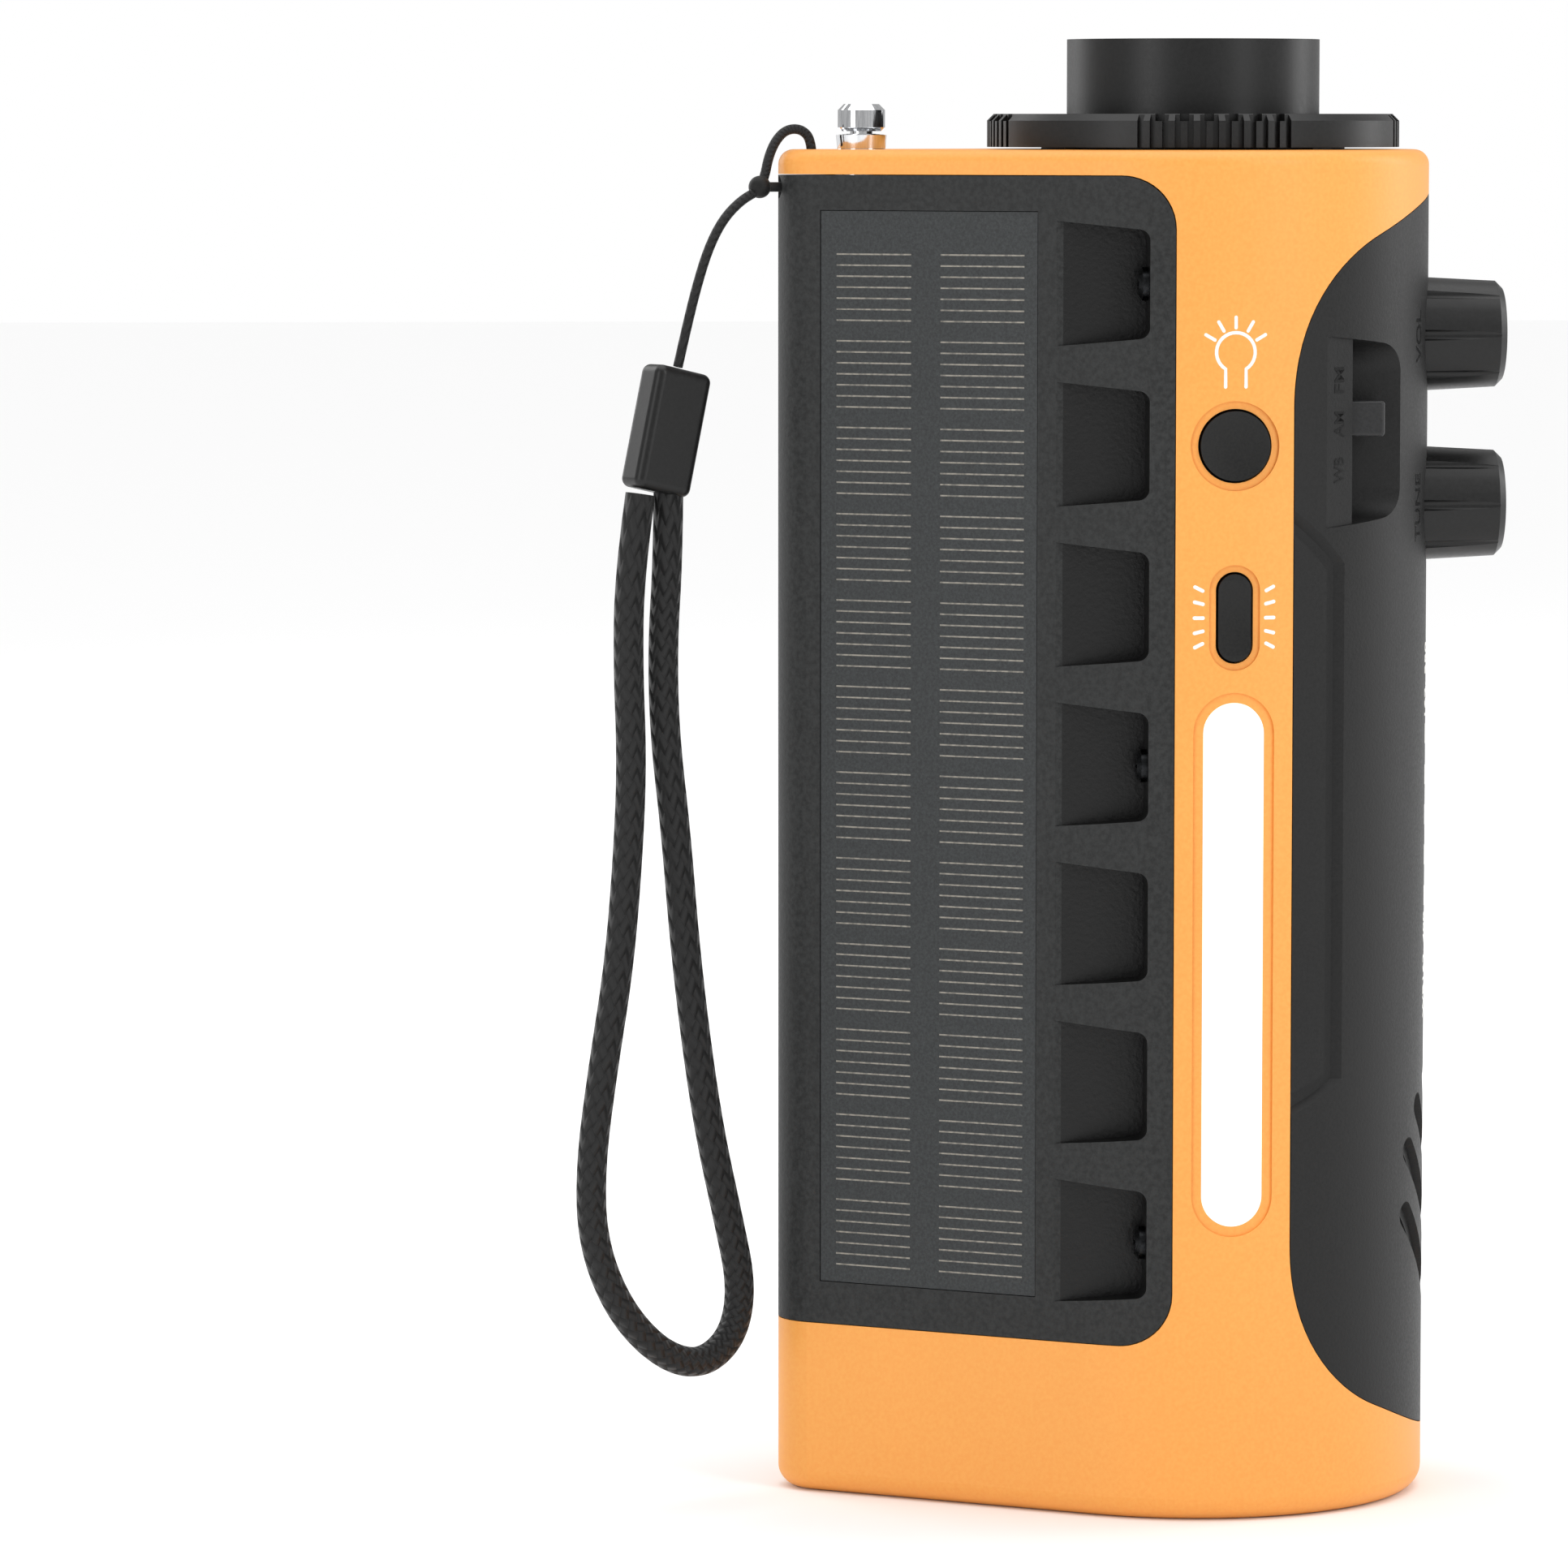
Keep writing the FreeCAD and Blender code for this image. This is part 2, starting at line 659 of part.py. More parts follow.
def usb_box(grow, inner, outer):
    near, size = S.usb_along - grow, S.usb_size + 2 * grow
    heights = (S.usb_foot - grow, S.usb_foot + S.usb_size + grow)
    return on_flat(box((-near - size, -near), (inner, outer), heights), RIGHT)


def rear_cover():
    flat = S.lobe_radius
    hollow = cut(cavity, *pockets(S.pocket_wall))
    shape = cut(common(case_block, rear_cutter(as_size(0))), hollow)
    grow = as_size(0.1)
    panel = box(
        (S.panel_start - grow, S.panel_start + S.panel_width + grow),
        (flat - S.panel_thick - 0.1, flat + 2),
        (S.panel_foot - grow, S.panel_foot + S.panel_height + grow),
    )
    window = rod("y", (-S.crank_along, S.crank_z), S.crank_shaft + S.gap, flat - 8, flat + 2)
    tools = [*pockets(as_size(0)), on_flat(panel, LEFT), on_flat(window, RIGHT)]
    tools += [usb_box(S.gap, flat - 4, flat + 2)]
    tools += [rod("y", (-0.6, 175.0), S.thread_radius + 0.9, 50, 60)]
    for side, number in SCREW_PLACES:
        across = (side * S.screw_offset, pocket_z(number))
        tools.append(rod("y", across, S.screw_shank + 0.2, S.rear_edge - 1, S.pocket_end + 1))
    return sub_part("rear_cover", cut(shape, *tools))


def cover_screws():
    """Pan-head screws that hold the rear cover to the shell's bosses."""
    screws = []
    head = S.pocket_end
    for side, number in SCREW_PLACES:
        across = (side * S.screw_offset, pocket_z(number))
        rim = rod("y", across, S.screw_head, head, head + 0.8)
        pan = fuse(rim, cone("y", across, S.screw_head, S.screw_head - 0.7, head + 0.8, head + 1.3))
        cross = [
            box((across[0] - a, across[0] + a), (head + 0.7, head + 2), (across[1] - b, across[1] + b))
            for a, b in ((1.2, 0.25), (0.25, 1.2))
        ]
        screws.append(cut(fuse(pan, rod("y", across, S.screw_shank - 0.02, head - 5.4, head)), *cross))
    return sub_part("cover_screws", fuse(*screws))


def solar_panel():
    flat = S.lobe_radius
    sides = (S.panel_start, S.panel_start + S.panel_width)
    heights = (S.panel_foot, S.panel_foot + S.panel_height)
    plate = box(sides, (flat - S.panel_thick - 0.1, flat - 0.1), heights)
    return sub_part("solar_panel", on_flat(plate, LEFT))


# The knobs and what they turn


def knob(label, height, shaft_end):
    """A fluted knob on its shaft, turned about an axis that then points to the front."""
    owner = body(label)
    foot = S.well_floor + S.gap
    face = S.lobe_radius + S.knob_proud
    revolve(owner, "Turned", [
        (0, shaft_end), (S.shaft, shaft_end), (S.shaft, foot), (S.knob_radius, foot),
        (S.knob_tip, face - 0.9), (S.knob_tip - 0.9, face), (S.knob_tip - 2, face),
        (S.knob_tip - 2.6, face - 0.5), (0, face - 0.5),
    ])
    drawing = plane_sketch(owner, "XY_Plane", "FluteSection")
    circle(drawing, S.knob_radius + 0.1, 0, 0.75)
    flute = owner.newObject("PartDesign::Pocket", "Flute")
    flute.Profile = drawing
    flute.Type = "Length"
    bind(flute, Length=face + 1)
    flute.Reversed = True
    doc.recompute()
    pattern(owner, flute, 8)
    put(owner, S.knob_x, 0, height, Rotation(Vector(1, 0, 0), 90))
    return sub_part(label, owner)


def volume_knob():
    return knob("volume_knob", S.volume_z, as_size(17))


def tuning_knob():
    return knob("tuning_knob", S.tuning_z, as_size(17))


def cord_wheel(height, bore):
    """A grooved wheel for the dial cord."""
    place = (S.knob_x, height)
    wheel = rod("y", place, S.drum_radius, -26.2, -23.8)
    groove = tube("y", place, S.drum_radius + 1, S.drum_radius - 0.8, -25.5, -24.5)
    return cut(wheel, groove, rod("y", place, bore, -27, -23))


def pot(label, height, half):
    """A control behind a knob, soldered to the main board."""
    place = (S.knob_x, height)
    front = -S.board_front - 7.5
    case = box((S.knob_x - half, S.knob_x + half), (front, -S.board_front), (height - half, height + half))
    neck = rod("y", place, S.shaft + 1.6, front - 1.5, front)
    return sub_part(label, cut(fuse(case, neck), rod("y", place, S.shaft + S.fit, front - 2, front + 5.2)))


def tuning_drum():
    return sub_part("tuning_drum", cord_wheel(S.tuning_z, S.shaft))


idler_z = S.slot_foot - 0.6
cord_radius = S.drum_radius - 0.45


def dial_idler():
    return sub_part("dial_idler", cord_wheel(idler_z, 1.0 + S.fit))


def dial_frame():
    """The plate that carries the idler and guides the pointer, on two legs from the main board."""
    top = S.slot_foot + S.slot_length + 10
    foot = S.slot_foot - 8
    plate = box((-9, 9.5), (-22.8, -21.8), (foot, top))
    legs = [box((-9, 9.5), (-22, -S.board_front), (height, height + 1.5)) for height in (foot, top - 1.5)]
    guide = box((-3.6, -1.4), (-24, -21), (S.slot_foot - 1.5, top - 3))
    axle = rod("y", (S.knob_x, idler_z), 1.0, -26.6, -22)
    return sub_part("dial_frame", fuse(cut(fuse(plate, *legs), guide), axle))


def dial_pointer():
    """The orange pointer on its carriage above the idler, and the tongue that runs in the frame."""
    foot = S.slot_foot + 1.2
    rest = foot + 5.8
    blade = box((S.slot_x - 0.4, S.slot_x + 0.4), (-30.6, -26.6), (foot, foot + 2.4))
    arm = box((S.slot_x - 0.6, S.slot_x + 0.6), (-28.6, -26.6), (foot, rest + 3))
    cord_x = S.knob_x - cord_radius
    carriage = box((cord_x - 1.4, 2.4), (-27.4, -23.2), (rest, rest + 3))
    tongue = box((-3.3, -1.7), (-24, -21.2), (rest, rest + 3))
    cord = rod("z", (cord_x, -25.0), 0.6, foot, rest + 6)
    return sub_part("dial_pointer", cut(fuse(blade, arm, carriage, tongue), cord))


def dial_cord():
    """The cord round the drum and the idler, drawn as one closed loop."""
    radius = cord_radius.value
    top, low = S.tuning_z.value, idler_z.value
    middle = S.knob_x.value
    up = Vector(0, -1, 0)
    points = [Vector(middle + sign * radius, -25.0, height) for sign in (-1, 1) for height in (low, top)]
    upper = Part.Arc(points[1], Vector(middle, -25.0, top + radius), points[3])
    lower = Part.Arc(points[2], Vector(middle, -25.0, low - radius), points[0])
    sides = [Part.LineSegment(points[0], points[1]), Part.LineSegment(points[3], points[2])]
    path = Part.Wire([sides[0].toShape(), upper.toShape(), sides[1].toShape(), lower.toShape()])
    section = Part.Wire(Part.makeCircle(0.3, points[0], Vector(0, 0, 1)))
    loop = doc.addObject("Part::Feature", "DialCord")
    loop.Shape = path.makePipeShell([section], True, False)
    return sub_part("dial_cord", loop)


# The radio


def main_board():
    face = -S.board_front
    plate = box((-23.5, 23.5), (face, face + S.board_thick), (62, 163))
    holes = [rod("y", place, 1.3, face - 1, face + 3) for place in board_posts()]
    chips = [
        box((-16, -4), (face + S.board_thick, face + S.board_thick + 1.2), (90, 102)),
        box((6, 13), (face + S.board_thick, face + S.board_thick + 1.5), (138, 150)),
        box((-18, -10), (face - 1.4, face), (100, 108)),
    ]
    return sub_part("main_board", fuse(cut(plate, *holes), *chips))


def board_screws():
    head = -S.board_front + S.board_thick
    screws = [
        fuse(rod("y", place, 2.0, head, head + 1.4), rod("y", place, 0.88, -16.8, head))
        for place in board_posts()
    ]
    return sub_part("board_screws", fuse(*screws))


def speaker():
    place = (0.5, S.speaker_z)
    rim, depth = S.speaker_radius, -21.6
    flange = rod("y", place, rim, depth, depth + 1.2)
    outside = fuse(flange, cone("y", place, rim - 1.2, 10, depth + 1.2, -14.5))
    inside = cone("y", place, rim - 1.9, 9.0, depth - 0.1, -14.4)
    magnet = fuse(rod("y", place, 11.0, -14.5, -8.5), rod("y", place, 3.6, -15.8, -14))
    sub_part("speaker_basket", fuse(cut(outside, inside), magnet))
    paper = cut(
        cone("y", place, rim - 2.2, 5, depth, -16.5), cone("y", place, rim - 2.9, 4.3, depth - 0.1, -16.4),
    )
    cap = common(ball(place[0], -13.6, place[1], 6.0), box((-20, 20), (-30, -16.6), (20, 60)))
    sub_part("speaker_cone", fuse(paper, cap))


def band_switch():
    front = -S.notch_floor + S.inner_wall + 0.3
    case = box((-S.band_x - 1.6, -S.band_x + 2.6), (front, -S.board_front), (137.0, 149.5))
    groove = box((-S.band_x - 1.3, -S.band_x + 1.3), (front - 1, front + 1.3), (137.9, 148.4))
    sub_part("band_switch", cut(case, groove))
    half = 1.7
    cap = box((-S.band_x - half, -S.band_x + half), (-22.9, front - 0.25), (142.5, 147.2))
    cap = rounded(cap, as_size(0.5), lambda place, spans: place.y < -22.8 or (spans[1] > 4))
    stem = box((-S.band_x - 1, -S.band_x + 1), (front - 0.5, front + 1), (143.5, 146.2))
    sub_part("band_slider", fuse(cap, stem))


def battery_lights():
    back = -S.notch_floor + S.inner_wall + 0.2
    plate = box((17.5, 22.9), (back, back + 1), (133, 154))
    spacer = box((18, 21), (back + 1, -S.board_front), (134, 153))
    lights = [rod("y", place, 0.95, -S.notch_floor + 0.25, back) for place in led_places()]
    width, length = as_size(1.4), as_size(4.8)
    bars = [stadium("y", (13.0, height), width, length, -27.9, -23.2) for height in (110.0, 79.0)]
    bars += [box((12.3, 13.7), (-23.3, -S.board_front), (height - 1, height + 1)) for height in (110.0, 79.0)]
    sub_part("light_board", fuse(plate, spacer))
    sub_part("indicator_lights", fuse(*lights, *bars))


def ferrite_aerial():
    sub_part("ferrite_coil", tube("z", (-17, 2), 4.9, 4.0, 96, 118))
    back = -S.board_front + S.board_thick
    arms = [box((-21, -13), (back, 7), (height, height + 3)) for height in (86, 145)]
    sub_part("ferrite_rod", fuse(*arms, rod("z", (-17, 2), 4.0, 84, 150)))


# Power


def battery():
    place = (0, S.cell_y)
    foot, top = S.cell_foot, S.cell_foot + S.cell_length
    can = rod("z", place, S.cell_radius, foot, top - 1)
    sub_part("battery_cell", fuse(can, rod("z", place, 3.0, top - 1, top)))
    outer, inner = S.cell_radius + 2, S.cell_radius + 0.2
    holder = rod("z", place, outer, S.floor_plate, top + 2.2)
    bore = rod("z", place, inner, foot - 1.8, top + 1)
    mouth = box((-outer - 1, outer + 1), (S.cell_y - outer - 1, S.cell_y - 5.5), (foot - 1.8, top + 1))
    sub_part("battery_holder", cut(holder, bore, mouth))
    spring = cone("z", place, 6, 4, foot - 1.8, foot)
    sub_part("battery_contacts", fuse(spring, rod("z", place, 6.0, top, top + 1)))


# The torch


def focus_ring():
    foot, low = S.case_height + S.gap, S.barrel_foot - 1
    top = foot + S.ring_height
    rim, inner = S.ring_radius, hub_radius - 1.8
    owner = body("ring_blank")
    revolve(owner, "Turned", [
        (inner, low), (hub_radius, low), (hub_radius, foot), (rim, foot), (rim, top - 0.9),
        (rim - 0.9, top), (S.barrel_radius + S.gap, top), (S.barrel_radius + S.gap, top - 1.5),
        (inner, top - 1.5),
    ])
    ribs, tops, flats = [], [], []
    for quarter in range(4):
        around = Rotation(Vector(0, 0, 1), 90 * quarter + 45)
        flat = put(box((0, 6), (-12, 12), (foot - 1, top + 1)), turn=around)
        flat.Placement = Placement(around.multVec(Vector(rim.value * 0.9636, -12, 0)), around)
        flat.setExpression(".Placement.Base.z", (foot - 1).text)
        flats.append(flat)
        for number in range(13):
            angle = 90 * quarter + (number - 6) * 3.45
            turn = Rotation(Vector(0, 0, 1), angle)
            shift = turn.multVec(Vector(rim.value - 0.8, -0.4, 0))
            groove = put(box((0, 3), (0, 0.8), (foot - 1, top + 1)), shift.x, shift.y, foot - 1, turn)
            ribs.append(groove)
            if number % 2 and number < 12:
                turn = Rotation(Vector(0, 0, 1), angle + 1.725)
                shift = turn.multVec(Vector(rim.value - 2.2, -0.62, 0))
                low_rib = put(box((0, 3), (0, 1.24), (0, 2)), shift.x, shift.y, top - 0.95, turn)
                tops.append(low_rib)
    slots = [helix_slot(side) for side in (0, 180)]
    sub_part("focus_ring", cut(owner, *flats, *ribs, *tops, *slots))
    clip_top = inside_top - S.gap
    sub_part("ring_clip", tube("z", (0, 0), hub_radius + 1.9, hub_radius, clip_top - 1.1, clip_top))


pin_z = S.barrel_foot + 1.6
PIN_RADIUS = 1.0


def helix_slot(side):
    """The cam slot in the ring's hub: it climbs by the barrel's travel in a quarter turn."""
    steps = 24
    bars = []
    for step in range(steps + 1):
        turn = Rotation(Vector(0, 0, 1), side - 90 * step / steps)
        height = pin_z + S.barrel_travel * (step / steps)
        bar = rod("x", (0, height), PIN_RADIUS + 0.45, hub_radius - 4, hub_radius + 1)
        reach = turn.multVec(Vector(hub_radius.value - 4, 0, 0))
        bars.append(put(bar, reach.x, reach.y, height, turn.multiply(AXES["x"])))
    return fuse(*bars)


def torch():
    sleeve_in, sleeve_out = S.barrel_radius + 0.3, S.barrel_radius + 1.3
    foot, top = S.barrel_foot, S.barrel_top
    barrel = tube("z", (0, 0), S.barrel_radius, S.barrel_radius - 1.6, foot, top)
    lip = tube("z", (0, 0), S.barrel_radius - 1, S.barrel_radius - 2.6, top - 4.4, top - 3.4)
    pins = rod("x", (0, pin_z), PIN_RADIUS, 0.5 - hub_radius, hub_radius - 0.5)
    pins = cut(pins, rod("z", (0, 0), S.barrel_radius - 1, foot - 1, foot + 5))
    bezel = tube("z", (0, 0), S.barrel_radius - 1, S.barrel_radius - 3, top - 1.6, top - 0.5)
    sub_part("torch_barrel", fuse(barrel, lip, bezel, pins))
    glass = rod("z", (0, 0), S.barrel_radius - 1.7, top - 3.4, top - 1.6)
    sub_part("torch_lens", glass)
    bowl_top = top - 4.5
    bowl_foot = foot + 4
    wide = S.barrel_radius - 2.7
    disc = rod("z", (0, 0), S.barrel_radius - 1.65, bowl_foot, bowl_foot + 1.2)
    bowl = cut(
        fuse(cone("z", (0, 0), 6, wide, bowl_foot, bowl_top), disc),
        cone("z", (0, 0), 5.2, wide - 0.8, bowl_foot - 0.1, bowl_top + 0.1),
    )
    sub_part("reflector", bowl)
    ears = [rod("z", place, 2.6, carrier_top - 2, carrier_top) for place in post_places]
    arms = []
    for angle in (45, 135):
        turn = Rotation(Vector(0, 0, 1), angle)
        start = turn.multVec(Vector(-25, -2.6, 0))
        arm = box((-25, 25), (-2.6, 2.6), (carrier_top - 2, carrier_top))
        arms.append(put(arm, start.x, start.y, carrier_top - 2, turn))
    disc = rod("z", (0, 0), sleeve_out, carrier_top - 2, carrier_top)
    sleeve = tube("z", (0, 0), sleeve_out, sleeve_in, carrier_top - 1, S.case_height + 1)
    guides = box((-sleeve_out - 1, sleeve_out + 1), (-1.3, 1.3), (pin_z - 1.3, S.case_height + 2))
    bore = [rod("z", place, S.screw_shank + 0.2, carrier_top - 3, carrier_top + 1) for place in post_places]
    sub_part("torch_carrier", cut(fuse(disc, *ears, *arms, sleeve), guides, *bore))
    screws = []
    for place in post_places:
        head = rod("z", place, 2.0, carrier_top - 3.4, carrier_top - 2)
        screws.append(fuse(head, rod("z", place, 1.08, carrier_top - 2, carrier_top + 5)))
    sub_part("carrier_screws", fuse(*screws))
    board = rod("z", (0, 0), 9.5, carrier_top, carrier_top + 1.2)
    chip = box((-1.8, 1.8), (-1.8, 1.8), (carrier_top + 1.2, carrier_top + 2))
    sub_part("torch_light", fuse(board, chip, ball(0, 0, carrier_top + 2, 1.5)))


# The lamp side


def lamp_side():
    behind_wall = -S.wall - 0.05
    skin_in = teardrop(behind_wall - 1, 10, 140)
    lens = common(cut(teardrop(-as_size(0.35), 20, 130), skin_in), lamp_cutter(-as_size(0.05), -40, -20))
    flange = common(cut(teardrop(behind_wall, 20, 130), skin_in), lamp_cutter(as_size(0.6), -40, -20))
    sub_part("lamp_lens", fuse(lens, flange))
    plate = box((-24.6, -23.4), (-8, 3.4), (37, 110))
    leds = [box((-25.3, -24.6), (-3.8, -0.8), (44 + 11.8 * n, 47 + 11.8 * n)) for n in range(6)]
    feet = [box((-23.4, -22.6), (-8, 3.4), (height, height + 2)) for height in (40, 105)]
    sub_part("lamp_board", fuse(plate, *leds, *feet))
    plate = box((-24.6, -23.4), (-8, 3.4), (113, 149))
    switches = [
        box((-26.4, -24.6), (-4.8, 0.2), (height - 2.5, height + 2.5)) for height in (S.sos_z, S.lamp_button_z)
    ]
    sub_part("button_board", fuse(plate, *switches))
    sub_part("lamp_button", pushbutton(lamp_button_bar, S.lamp_button_z))
    sub_part("sos_button", pushbutton(sos_bar, S.sos_z))


def pushbutton(bar, height):
    """A button with a flange behind the wall, a shallow dish in its face and a plunger."""
    face = -S.lobe_radius - 0.25
    stem = cut(bar(as_size(0), face, -27.8), ball(face - 24.4, S.strip_y, height, 24.9))
    flange = bar(as_size(0.9), -27.9, -27.3)
    return fuse(stem, flange)


# The aerial


def section_radius(number):
    return S.aerial_radius - (S.tube_wall + S.fit) * number


def aerial():
    place = (0, S.aerial_y)
    foot, top = S.aerial_foot, S.case_height
    inner = S.aerial_radius - S.tube_wall
    post = fuse(
        box((-4.5, 4.5), (S.aerial_y - 4.5, S.aerial_y + 4.5), (S.floor_plate, foot - 1)),
        rod("z", place, S.aerial_radius, foot - 1, top),
        cone("z", place, S.aerial_radius - 0.3, S.aerial_radius - 0.1, top, top + 1.9),
    )
    sub_part("aerial_tube", cut(post, rod("z", place, inner, foot, top + 3)))
    names = ("aerial_section_a", "aerial_section_b", "aerial_section_c")
    for number, name in enumerate(names, 1):
        radius = section_radius(number)
        neck = top + 1.9 + 0.05 * number
        sub_part(name, tube("z", place, radius, radius - S.tube_wall, foot + 2 * number, neck))
    radius = section_radius(4)
    tip = fuse(
        rod("z", place, radius, foot + 8, top + 2.4),
        cone("z", place, S.tip_radius - 0.5, S.tip_radius, top + 2.4, top + 2.9),
        rod("z", place, S.tip_radius, top + 2.9, top + 5.2),
        cone("z", place, S.tip_radius, S.tip_radius - 0.8, top + 5.2, top + 6.0),
    )
    sub_part("aerial_tip", tip)


# The crank and its gearbox, drawn with +Y outward and X towards the front of the right flat

crank_x = -S.crank_along
arm_in = S.lobe_radius + S.crank_lift
arm_out = arm_in + S.crank_thick
grip_y = arm_in + S.grip_radius
hinge_y = arm_in + S.crank_thick / 2
grip_foot = S.hinge_z + 6.4
window_half = S.grip_radius + 1.4


def crank_arm():
    half = S.crank_width / 2
    foot = S.crank_z - S.crank_reach
    arm = fuse(
        rod("y", (crank_x, S.crank_z), half, arm_in, arm_out),
        box((crank_x - half, crank_x + half), (arm_in, arm_out), (foot - half + 2, S.crank_z)),
        box((crank_x - half + 2, crank_x + half - 2), (arm_in, arm_out), (foot - half, foot)),
        *[rod("y", (crank_x + sign * (half - 2), foot - half + 2), 2.0, arm_in, arm_out) for sign in (-1, 1)],
    )
    window = box(
        (crank_x - window_half, crank_x + window_half), (arm_in - 1, arm_out + 1),
        (S.hinge_z - 3.5, grip_foot + S.grip_length + 2.6),
    )
    pin = rod("x", (hinge_y, S.hinge_z), 0.7, crank_x - half + 0.6, crank_x + half - 0.6)
    head = rod("y", (crank_x, S.crank_z), 3.2, arm_out - 1.2, arm_out + 1)
    return sub_part("crank_arm", on_flat(fuse(cut(arm, window, head), pin), RIGHT))


def crank_screw():
    place = (crank_x, S.crank_z)
    disc = rod("y", place, 3.1, arm_out - 1.2, arm_out + 0.3)
    slots = [
        box((crank_x - a, crank_x + a), (arm_out - 0.5, arm_out + 1), (S.crank_z - b, S.crank_z + b))
        for a, b in ((1.7, 0.35), (0.35, 1.7))
    ]
    return sub_part("crank_screw", on_flat(cut(disc, *slots), RIGHT))


def grip():
    reach = window_half - 0.4
    knuckle = rod("x", (hinge_y, S.hinge_z), S.crank_thick / 2, crank_x - reach, crank_x + reach)
    web = box((crank_x - 3.2, crank_x + 3.2), (hinge_y - 1.9, hinge_y + 3.1), (S.hinge_z, S.hinge_z + 6))
    end = grip_foot + S.grip_length
    spindle = rod("z", (crank_x, grip_y), 1.5, S.hinge_z + 5, end + 0.4)
    cap = rod("z", (crank_x, grip_y), 2.6, end + 0.4, end + 1.4)
    bore = rod("x", (hinge_y, S.hinge_z), 0.8, crank_x - 8, crank_x + 8)
    sub_part("grip_post", on_flat(cut(fuse(knuckle, web, spindle, cap), bore), RIGHT))
    sleeve = rod("z", (crank_x, grip_y), S.grip_radius, grip_foot, end)
    sleeve = rounded(sleeve, as_size(0.8), lambda place, spans: spans[2] < 0.01)
    bore = rod("z", (crank_x, grip_y), 1.5 + S.fit, grip_foot - 1, end + 1)
    sub_part("grip_sleeve", on_flat(cut(sleeve, bore), RIGHT))


def gear(teeth, start, z, shift):
    """A disc with short straight teeth; shift turns them by part of a tooth."""
    pitch = S.tooth_module * teeth / 2
    root, tip, tooth = pitch - 0.32, pitch + 0.16, 0.55
    cogs = []
    for number in range(int(teeth.value)):
        angle = 360 * (number + shift) / teeth.value
        turn = Rotation(Vector(0, 1, 0), angle)
        corner = turn.multVec(Vector(root.value - 0.3, 0, -tooth / 2))
        cog = box((0, tip - root + 0.3), (start, start + S.gear_width), (0, tooth))
        cogs.append(put(cog, crank_x + corner.x, start, z + corner.z, turn))
    return fuse(rod("y", (crank_x, z), root, start, start + S.gear_width), *cogs)


first_row = 22.5
second_row = 18.5
wheel_z = S.crank_z - S.tooth_module * (S.crank_teeth + S.pinion_teeth) / 2
rotor_z = wheel_z - S.tooth_module * (S.wheel_teeth + S.pinion_teeth) / 2


def gearbox():
    shaft = rod("y", (crank_x, S.crank_z), S.crank_shaft, 17.6, arm_in)
    sub_part("crank_gear", on_flat(fuse(gear(S.crank_teeth, first_row, S.crank_z, 0.25), shaft), RIGHT))
    axle = rod("y", (crank_x, wheel_z), 1.2, 16.3, 27.7)
    pinion = gear(S.pinion_teeth, first_row, wheel_z, 0.25)
    wheel = gear(S.wheel_teeth, second_row, wheel_z, 0.5)
    sub_part("compound_gear", on_flat(fuse(pinion, wheel, axle), RIGHT))
    rotor = rod("y", (crank_x, rotor_z), 1.0, 14.0, 21.5)
    sub_part("rotor_pinion", on_flat(fuse(gear(S.pinion_teeth, second_row, rotor_z, 0), rotor), RIGHT))
    half, low, high = 11.0, rotor_z - 9, S.crank_z + 17
    plates = [
        box((crank_x - half, crank_x + half), (start, start + 1.5), (low, high)) for start in (16.0, 26.3)
    ]
    posts = [
        rod("y", (crank_x + sign * (half - 1.6), height), 1.5, 17.4, 26.4)
        for sign in (-1, 1) for height in (low + 1.6, high - 1.6)
    ]
    holes = [
        rod("y", (crank_x, S.crank_z), S.crank_shaft + S.fit, 17.2, 30),
        rod("y", (crank_x, wheel_z), 1.2 + S.fit, 15, 30),
        rod("y", (crank_x, rotor_z), 1.0 + S.gap, 15, 22),
    ]
    sub_part("gearbox_frame", on_flat(cut(fuse(*plates, *posts), *holes), RIGHT))
    start = 16.0 - S.motor_length
    can = rod("y", (crank_x, rotor_z), S.motor_radius, start, 16)
    sub_part("generator", on_flat(cut(can, rod("y", (crank_x, rotor_z), 1.0 + S.fit, 13.5, 17)), RIGHT))


# The sockets


def sockets():
    flat = S.lobe_radius
    near, far = S.usb_along - 1, S.usb_along + S.usb_size + 1
    low, high = S.usb_foot - 2, S.usb_foot + S.usb_size + 2
    back = flat - 9.5
    plate = box((-far, -near), (back, back + 1.6), (low, high))
    middle = -(near + far) / 2
    shells = []
    for height, width, depth in ((37.6, 14.4, 7.0), (29.8, 9.0, 3.2)):
        a, b = width / 2, depth / 2
        outer = box((middle - a, middle + a), (back + 1.6, flat - 1.9), (height - b, height + b))
        a, b = a - 0.4, b - 0.4
        inner = box((middle - a, middle + a), (back + 3, flat), (height - b, height + b))
        shells.append(cut(outer, inner))
    sub_part("sockets", on_flat(fuse(plate, *shells), RIGHT))
    sides = (-S.usb_along - S.usb_size, -S.usb_along)
    thick = 1.6
    hinge = S.usb_foot + thick / 2
    lid = box(sides, (flat - thick, flat), (hinge, S.usb_foot + S.usb_size))
    barrel = rod("x", (flat - thick / 2, hinge), thick / 2, *sides)
    top = S.usb_foot + S.usb_size
    pull = box((middle - 3, middle + 3), (flat - thick, flat + 0.5), (top - 1.6, top))
    sub_part("socket_cover", on_flat(fuse(lid, barrel, pull), RIGHT))


# The wrist cord: points are (y, z), and the cord leans to -X behind the nose

